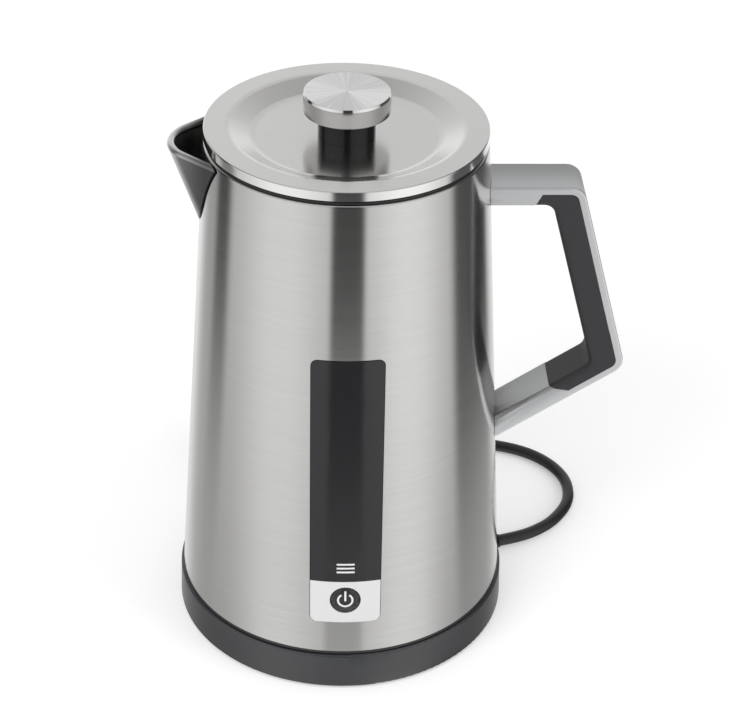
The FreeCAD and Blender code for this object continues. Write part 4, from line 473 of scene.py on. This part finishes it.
# %% Make the steels
UPRIGHT = (0, 0, 1)
FINISH = {
    "body_steel": steel("body_steel", (0.635, 0.63, 0.617), (80, 80, 2600), 0.18, 0.17, 0.08, 0.9,
                        UPRIGHT),
    "lid_steel": steel("lid_steel", (0.67, 0.665, 0.655), (80, 2600, 300), 0.20, 0.10, 0.05, 0.65,
                       (0, 1, 0), (0.018, 0.00001)),
    "rim_steel": steel("rim_steel", (0.86, 0.855, 0.845), (60, 60, 2600), 0.13, 0.05, 0.04, 0.5,
                       UPRIGHT),
    "knob_steel": steel("knob_steel", (0.78, 0.775, 0.77), (60, 60, 2600), 0.07, 0.03, 0.02, 0.2,
                        UPRIGHT),
    "spun_steel": steel("spun_steel", (0.76, 0.76, 0.757), (900, 900, 900), 0.22, 0.06, 0.05, 0.95,
                        "radial"),
    "spout_steel": steel("spout_steel", (0.56, 0.56, 0.555), (300, 300, 300), 0.30, 0.08, 0.06),
    "handle_metal": steel("handle_metal", (0.41, 0.415, 0.42), (1500, 1500, 1500), 0.42, 0.05, 0.05),
    "pot_steel": steel("pot_steel", (0.50, 0.49, 0.47), (22, 22, 1800), 0.36, 0.15, 0.1),
    "bright_steel": steel("bright_steel", (0.60, 0.60, 0.59), (500, 500, 500), 0.28),
    "brass": steel("brass", (0.72, 0.52, 0.24), (300, 300, 1500), 0.30, 0.2),
    "pin_nickel": steel("pin_nickel", (0.72, 0.71, 0.68), (1800, 90, 1800), 0.20),
}
# painted light: highlight fans on the knob's turned top, a painted reflection on the spout beside its
# seam, and painted side light on the handle
for finish_name, tone in (("spun_steel", painted_fan_highlights), ("spout_steel", painted_spout_reflection_and_seam),
                          ("handle_metal", painted_handle_side_light)):
    shaded(FINISH[finish_name], tone)
print(len(FINISH), "steels")

# %% [markdown]
# ## Plastic, rubber and gloss
# The base and the grip are matte, and the base has the stronger shine of a hard plastic. The display's
# lens, the knob's neck and the button's plate come from polished moulds: hardly any texture, and a
# low roughness. After the colour come the roughness, the scale of the pits, contrast, spread and bump.

# %% Make the plastics
POLISHED = (0.02, 0.00002)  # strength and depth of a polished mould's bump
FINISH.update({
    "base_plastic": moulded("base_plastic", (0.026, 0.027, 0.030), 0.38, specular=0.85),
    "skirt_plastic": moulded("skirt_plastic", (0.020, 0.020, 0.021), 0.35),
    "inner_plastic": moulded("inner_plastic", (0.045, 0.045, 0.047), 0.5),
    "soft_grip": moulded("soft_grip", (0.030, 0.030, 0.033), 0.55, 3200.0),
    "rubber": moulded("rubber", (0.020, 0.020, 0.020), 0.6, 1800.0),
    "silicone": moulded("silicone", (0.012, 0.012, 0.012), 0.38, 1500.0),
    "cord_rubber": moulded("cord_rubber", (0.016, 0.016, 0.017), 0.42, 1400.0),
    "lens_gloss": moulded("lens_gloss", (0.020, 0.020, 0.022), 0.10, 600.0, 0.1, 0.02, POLISHED),
    "knob_gloss": moulded("knob_gloss", (0.010, 0.010, 0.010), 0.12, 600.0, 0.1, 0.02, POLISHED),
    "plate_gloss": moulded("plate_gloss", (0.80, 0.80, 0.80), 0.16, 600.0, 0.02, 0.02, POLISHED),
    "button_gloss": moulded("button_gloss", (0.028, 0.028, 0.030), 0.28, 600.0, 0.05, 0.02, POLISHED),
    "icon_white": moulded("icon_white", (0.86, 0.86, 0.86), 0.4, 800.0, 0.02, 0.02, POLISHED),
    "board_green": moulded("board_green", (0.02, 0.14, 0.06), 0.35, 500.0, 0.3),
})
print(len(FINISH), "finishes in all")

# %% [markdown]
# ## Dress the CAD nodes
# Small and inner pieces keep their CAD shape: screws, the connector, the heater, the pot. Remaking
# them would gain nothing, so their mesh is left alone and only its material changes.

# %% Materials for the CAD nodes
NODE_FINISH = {
    "base_plate": "base_plastic", "base_feet": "rubber", "base_screws": "bright_steel",
    "connector_base": "inner_plastic", "connector_post": "inner_plastic", "contact_rings": "brass",
    "cover_screws": "bright_steel", "pot_studs": "bright_steel", "connector_socket": "inner_plastic",
    "controller_bracket": "bright_steel", "heater_plate": "bright_steel",
    "heating_element": "bright_steel", "temperature_probe": "bright_steel", "inner_pot": "pot_steel",
    "port_sleeve": "silicone", "spout_filter": "inner_plastic", "indicator_bars": "icon_white",
    "panel_frame": "inner_plastic", "display_board": "board_green", "button_switch": "inner_plastic",
    "handle_brackets": "bright_steel", "handle_screws": "bright_steel", "lid_liner": "inner_plastic",
    "knob_screw": "bright_steel", "cord_tie": "silicone", "plug_pins": "pin_nickel",
    "plug_earth_clips": "brass",
}
for node_name, finish_name in NODE_FINISH.items():
    thing = nodes[node_name]
    thing.data.materials.clear()
    thing.data.materials.append(FINISH[finish_name])
print(len(NODE_FINISH), "of", len(nodes), "CAD nodes keep their shape")

# %% [markdown]
# ## Helpers for new pieces
# Every new piece gets a material and a body to ride on, and the CAD nodes that it stands for are
# hidden. Its edges stay crisp above 28 degrees and its faces are smooth below. Weighted normals then let
# the large faces set the shading, because on polished metal any flaw in it shows as a bent reflection.

# %% Piece helpers
CRISP_EDGE = math.radians(28)


def show_as(piece, finish, body, *replaced):
    """Gives a finished piece its material and its body, and hides the CAD nodes that it stands for."""
    piece.data.materials.clear()
    piece.data.materials.append(FINISH[finish])
    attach(piece, body)
    if replaced:
        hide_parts(*replaced)
    return piece


def add_object(name, shape):
    """A new object from a bmesh, with smooth faces and crisp edges."""
    mesh = bpy.data.meshes.new(name)
    shape.to_mesh(mesh)
    shape.free()
    mesh.shade_smooth()
    mesh.set_sharp_from_angle(angle=CRISP_EDGE)
    piece = bpy.data.objects.new(name, mesh)
    bpy.context.scene.collection.objects.link(piece)
    return piece


def even_normals(piece):
    """Lets the large faces set the shading, so that only roundings shade from one to the next."""
    even = piece.modifiers.new("even_normals", "WEIGHTED_NORMAL")
    even.keep_sharp = True
    even.weight = 90


# %% [markdown]
# ## Turned pieces
# Shell, lid and knob are bodies of revolution. A stretched cylinder would have no wall and no rounded
# edge, so each is made as on a lathe: an outline of corners, each corner rounded by a vertex bevel, is
# spun once round the axis. A corner is a radius, a height and, where it is rounded, the length that
# the rounding takes from each edge, all in millimetres.

# %% Turning helpers
def new_verts(geometry):
    """The vertices in what a bmesh operator returns."""
    return [item for item in geometry if isinstance(item, bmesh.types.BMVert)]


def round_corners(shape, corners):
    """Draws corners (across, up[, rounding]) in millimetres in the XZ plane as a rounded face."""
    points = [shape.verts.new((corner[0] / 1000, 0, corner[1] / 1000)) for corner in corners]
    shape.faces.new(points)
    for point, corner in zip(points, corners):
        if len(corner) == 3:
            bmesh.ops.bevel(shape, geom=[point], offset=corner[2] / 1000, offset_type="OFFSET",
                            segments=5, profile=0.5, affect="VERTICES", material=-1,
                            clamp_overlap=False)
    return shape.faces[:]


def lathe(name, corners, steps=192):
    """Spins a rounded outline once round the Z axis."""
    shape = bmesh.new()
    bmesh.ops.delete(shape, geom=round_corners(shape, corners), context="FACES_ONLY")
    on_axis = [edge for edge in shape.edges if all(abs(v.co.x) < 1e-9 for v in edge.verts)]
    bmesh.ops.delete(shape, geom=on_axis, context="EDGES")
    bmesh.ops.spin(shape, geom=shape.verts[:] + shape.edges[:], cent=(0, 0, 0), axis=(0, 0, 1),
                   angle=2 * math.pi, steps=steps, use_merge=True, use_duplicate=False)
    bmesh.ops.remove_doubles(shape, verts=shape.verts[:], dist=1e-6)
    bmesh.ops.recalc_face_normals(shape, faces=shape.faces[:])
    piece = add_object(name, shape)
    even_normals(piece)
    print(name, "has", len(piece.data.polygons), "faces")
    return piece


# %% [markdown]
# ## The shell
# The jug's outside is one conical sheet, rolled in at the rim, with a window for the display panel in
# front and a port for the spout at the left. The openings could be modelled into the mesh face by
# face, but a boolean cut with a rounded prism is what a punch does to the real sheet. The cut is
# applied at once, so the tools don't stay in the file.

# %% Opening helpers
def cutter(name, corners, matrix, start, length):
    """A prism with a rounded outline, for an opening; the outline's plane is turned by the matrix."""
    shape = bmesh.new()
    face = round_corners(shape, corners)
    moved = new_verts(bmesh.ops.extrude_face_region(shape, geom=face)["geom"])
    bmesh.ops.translate(shape, verts=moved, vec=(0, -length / 1000, 0))
    bmesh.ops.translate(shape, verts=shape.verts[:], vec=(0, -start / 1000, 0))
    bmesh.ops.transform(shape, matrix=matrix, verts=shape.verts[:])
    bmesh.ops.recalc_face_normals(shape, faces=shape.faces[:])
    return add_object(name, shape)


def carve(piece, *tools):
    """Cuts openings and keeps only the result."""
    for tool in tools:
        opening = piece.modifiers.new("opening", "BOOLEAN")
        opening.operation = "DIFFERENCE"
        opening.solver = "EXACT"
        opening.object = tool
    bpy.context.view_layer.update()
    result = bpy.data.meshes.new_from_object(piece.evaluated_get(bpy.context.evaluated_depsgraph_get()))
    piece.modifiers.clear()
    piece.data = result
    for tool in tools:
        bpy.data.objects.remove(tool, do_unlink=True)
    result.shade_smooth()
    result.set_sharp_from_angle(angle=CRISP_EDGE)
    return piece


# %% Make the shell
SHELL = [(75.2, 20.6), (61.4, 242.7, 1.1), (55.6, 242.7), (55.6, 241.9), (60.6, 241.9, 0.4), (74.4, 20.6)]
WINDOW = [(-15.95, 36.75, 3.25), (15.95, 36.75, 3.25), (15.95, 171.15, 3.25), (-15.95, 171.15, 3.25)]
PORT = [(-15.0, 238.0, 2.2), (-7.5, 219.0, 2.6), (7.5, 219.0, 2.6), (15.0, 238.0, 2.2)]
TO_THE_SPOUT = Matrix.Rotation(-math.pi / 2, 4, "Z")

shell = lathe("steel_shell", SHELL, 256)
shell.modifiers.clear()
carve(shell, cutter("window", WINDOW, Matrix.Identity(4), 40, 50),
      cutter("port", PORT, TO_THE_SPOUT, 30, 50))
show_as(shell, "body_steel", "jug", "outer_shell")
print("shell faces after cutting:", len(shell.data.polygons))

# %% [markdown]
# ## The lid and its seal
# The lid is pressed from sheet: a shallow dish in the middle, a flat ring round it and a short band
# turned down at the edge. The band is polished more than the top, so its faces take a second material,
# chosen by where they are and which way they look. The black seal below is ribbed and just seen.

# %% Make the lid
BAND_RADIUS = 0.0606

lid = lathe("steel_lid", [
    (2.0, 244.3), (40.6, 244.3, 1.6), (50.9, 248.95, 1.2), (61.18, 248.95, 0.6), (61.37, 244.85),
    (60.47, 244.85), (60.3, 248.05, 0.3), (51.2, 248.05, 0.9), (40.9, 243.4, 1.6), (2.0, 243.4)], 224)
show_as(lid, "lid_steel", "lid", "lid_cap")
lid.data.materials.append(FINISH["rim_steel"])
for face in lid.data.polygons:
    if abs(face.normal.z) < 0.6 and math.hypot(face.center.x, face.center.y) > BAND_RADIUS:
        face.material_index = 1

seal = lathe("lid_seal", [
    (53.8, 242.75), (60.4, 242.75, 0.15), (60.4, 243.35, 0.1), (60.9, 243.6, 0.12), (60.9, 244.05, 0.12),
    (60.4, 244.3, 0.1), (60.4, 244.85), (53.8, 244.85)])
show_as(seal, "silicone", "lid", "lid_gasket")

# %% [markdown]
# ## The knob
# A black glossy neck carries a solid steel knob. Its side is polished, a fine bevel runs round its
# top, and the top itself is turned on a lathe, which is the material with the painted highlight fans.

# %% Make the knob and its neck
neck = lathe("black_neck", [(2.0, 244.35), (12.4, 244.35), (12.4, 255.65), (2.0, 255.65)], 96)
show_as(neck, "knob_gloss", "lid", "knob_neck")

knob = lathe("steel_knob", [
    (1.9, 255.7), (18.95, 255.7, 0.5), (18.75, 263.4, 0.12), (18.35, 264.5, 0.15), (0, 264.5),
    (0, 261.6), (1.9, 261.6)], 144)
show_as(knob, "knob_steel", "lid", "knob_cap")
knob.data.materials.append(FINISH["spun_steel"])
for face in knob.data.polygons:
    if face.normal.z > 0.99:
        face.material_index = 1

# %% [markdown]
# ## Finished copies
# Base, handle, grip, spout, display and plug have the shape that their CAD node has. A CAD mesh is
# loose triangles and would shade flat, so a copy has its doubles merged, and weighted normals keep its
# flat faces flat while the roundings shade smoothly. The CAD node itself isn't touched, only hidden.

# %% Merge and smooth the copies
def smooth_copy(node_name, finish, body):
    """A copy of a CAD node with joined triangles and even shading."""
    source = nodes[node_name]
    shape = bmesh.new()
    shape.from_mesh(source.data)
    bmesh.ops.transform(shape, matrix=source.matrix_world, verts=shape.verts[:])
    bmesh.ops.remove_doubles(shape, verts=shape.verts[:], dist=2e-6)
    piece = add_object(node_name + "_finished", shape)
    even_normals(piece)
    return show_as(piece, finish, body, node_name)


COPIES = {
    "base_housing": ("base_plastic", "power_base"), "bottom_cover": ("skirt_plastic", "jug"),
    "spout": ("spout_steel", "jug"), "handle_frame": ("handle_metal", "jug"),
    "handle_grip": ("soft_grip", "jug"), "display_lens": ("lens_gloss", "jug"),
    "button_plate": ("plate_gloss", "jug"), "power_button": ("button_gloss", "button"),
    "strain_relief": ("cord_rubber", "power_base"), "plug_body": ("rubber", "power_base"),
}
copies = {name: smooth_copy(name, *rest) for name, rest in COPIES.items()}
print(len(copies), "copies")

# %% [markdown]
# ## The mark on the button
# The usual sign for power, a ring open at the top and an upright bar, is laid on the button as a thin
# layer. A picture of it would need an image texture, and a few faces do better. The sign is drawn flat
# and then every point is moved out onto the button's conical face.

# %% Power sign
BUTTON_HEIGHT = 0.049
RING_RADII = (0.0028, 0.0037)
RING_START, RING_END = math.radians(33), math.radians(327)
BAR_MIDDLE, BAR_HALF_WIDTH, BAR_HALF_HEIGHT = 0.0512, 0.00045, 0.0027
BUTTON_PROUD = 0.00025  # how far the button's face stands out from the shell's cone
SIGN_GAP, SIGN_THICKNESS = 0.00004, 0.0001


def on_button(point):
    """Moves a point along Y to just over the button's face."""
    radius = SHELL_TOP_RADIUS + SHELL_SLOPE * (SHELL_TOP - point.z) + BUTTON_PROUD + SIGN_GAP
    return Vector((point.x, -math.sqrt(radius ** 2 - point.x ** 2), point.z))


def make_power_sign():
    """The ring is a short line spun most of the way round, the bar is a narrow grid."""
    shape = bmesh.new()
    start = [shape.verts.new((r * math.sin(RING_START), 0, BUTTON_HEIGHT + r * math.cos(RING_START)))
             for r in RING_RADII]
    shape.edges.new(start)
    bmesh.ops.spin(shape, geom=shape.verts[:] + shape.edges[:], cent=(0, 0, BUTTON_HEIGHT),
                   axis=(0, 1, 0), angle=RING_END - RING_START, steps=36, use_duplicate=False)
    bar = bmesh.ops.create_grid(shape, x_segments=1, y_segments=8, size=1)["verts"]
    bmesh.ops.transform(shape, verts=bar, matrix=Matrix.Translation((0, 0, BAR_MIDDLE)) @
                        Matrix.Rotation(math.pi / 2, 4, "X") @
                        Matrix.Diagonal((BAR_HALF_WIDTH, BAR_HALF_HEIGHT, 1, 1)))
    for vert in shape.verts:
        vert.co = on_button(vert.co)
    moved = new_verts(bmesh.ops.extrude_face_region(shape, geom=shape.faces[:])["geom"])
    bmesh.ops.translate(shape, verts=moved, vec=(0, SIGN_THICKNESS, 0))
    bmesh.ops.recalc_face_normals(shape, faces=shape.faces[:])
    sign = add_object("power_sign", shape)
    show_as(sign, "icon_white", "button")
    print("power sign faces:", len(sign.data.polygons))


make_power_sign()

# %% [markdown]
# ## The mains cord
# A cord of 5.8 mm leaves the base low at the right, swings round behind the kettle and is put away
# there as a small coil of three turns in two layers, held by a strap, with the plug beside it. The
# route is the one in the part's source. Pieces of tube and arc would look like bent wire. A NURBS curve
# glides past its control points, so it turns as a flexible cord does. In the coil sixteen points make
# each turn.

# %% Route of the cord
CORD_DIAMETER, CORD_LENGTH = 0.0058, 0.772
EXIT_ANGLE, EXIT_RADIUS = math.radians(19.7), 0.084
EXIT = Vector((EXIT_RADIUS * math.cos(EXIT_ANGLE), EXIT_RADIUS * math.sin(EXIT_ANGLE), 0.0036))
# heading from +X in degrees and length of each run, and the height of the cord's middle at its end
RUNS = [(19.7, 0.010, 0.0032), (27, 0.011, 0.0030), (40, 0.014, 0.0030), (60, 0.020, 0.0030),
        (92, 0.022, 0.0030), (127, 0.024, 0.0030), (158, 0.025, 0.0030), (176, 0.026, 0.0033)]
COIL_TURNS, COIL_STEPS, COIL_PITCH = 3, 16, 0.0063
COIL_INNER, COIL_FRONT_X, COIL_FRONT_Y, COIL_LOW = 0.0295, 0.034, 0.1155, 0.0036
PLUG_ENTRY = Vector((-0.012, COIL_FRONT_Y, 0.0162))


def coil_point(turn):
    """Centre of the cord after a number of turns; the loops spiral in, climb, and spiral out."""
    outer = COIL_INNER + COIL_PITCH * COIL_TURNS / 4
    reach = outer - COIL_PITCH * min(turn, COIL_TURNS - turn)
    # the curve passes inside its points, so these stand a little further out
    reach = reach / math.cos(math.pi / COIL_STEPS)
    climb = min(1.0, max(0.0, (turn - COIL_TURNS / 2 + 0.25) / 0.5))
    angle = -math.pi / 2 - 2 * math.pi * turn
    centre = Vector((COIL_FRONT_X, COIL_FRONT_Y + outer, COIL_LOW + COIL_PITCH * climb))
    return centre + Vector((math.cos(angle), math.sin(angle), 0)) * reach


def cord_route():
    """Control points from the base round the coil to the plug."""
    points = [EXIT.copy()]
    for heading, run, lift in RUNS:
        last, angle = points[-1], math.radians(heading)
        points.append(Vector((last.x + run * math.cos(angle), last.y + run * math.sin(angle), lift)))
    points += [coil_point(step / COIL_STEPS) for step in range(COIL_TURNS * COIL_STEPS + 1)]
    start, end = points[-1], PLUG_ENTRY
    span = end - start
    points += [start + Vector((span.x * 0.3, 0, 0.0002)),
               start + Vector((span.x * 0.62, 0, span.z * 0.62)),
               end + Vector((-span.x * 0.14, 0, -0.0003)), end]
    return points


# %% Lay the cord
def make_cord():
    """A round curve along the route, riding on the power base."""
    curve = bpy.data.curves.new("mains_cord", "CURVE")
    curve.dimensions = "3D"
    curve.bevel_depth = CORD_DIAMETER / 2
    curve.bevel_resolution = 5
    curve.use_fill_caps = True
    curve.resolution_u = 6
    points = cord_route()
    spline = curve.splines.new("NURBS")
    spline.points.add(len(points) - 1)
    for target, point in zip(spline.points, points):
        target.co = (*point, 1.0)
    spline.order_u = 3
    spline.use_endpoint_u = True
    cord = bpy.data.objects.new("mains_cord", curve)
    bpy.context.scene.collection.objects.link(cord)
    curve.materials.append(FINISH["cord_rubber"])
    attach(cord, "power_base")
    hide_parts("power_cord", "cord_coil", "cord_tail")
    print("cord control points:", len(points))


make_cord()
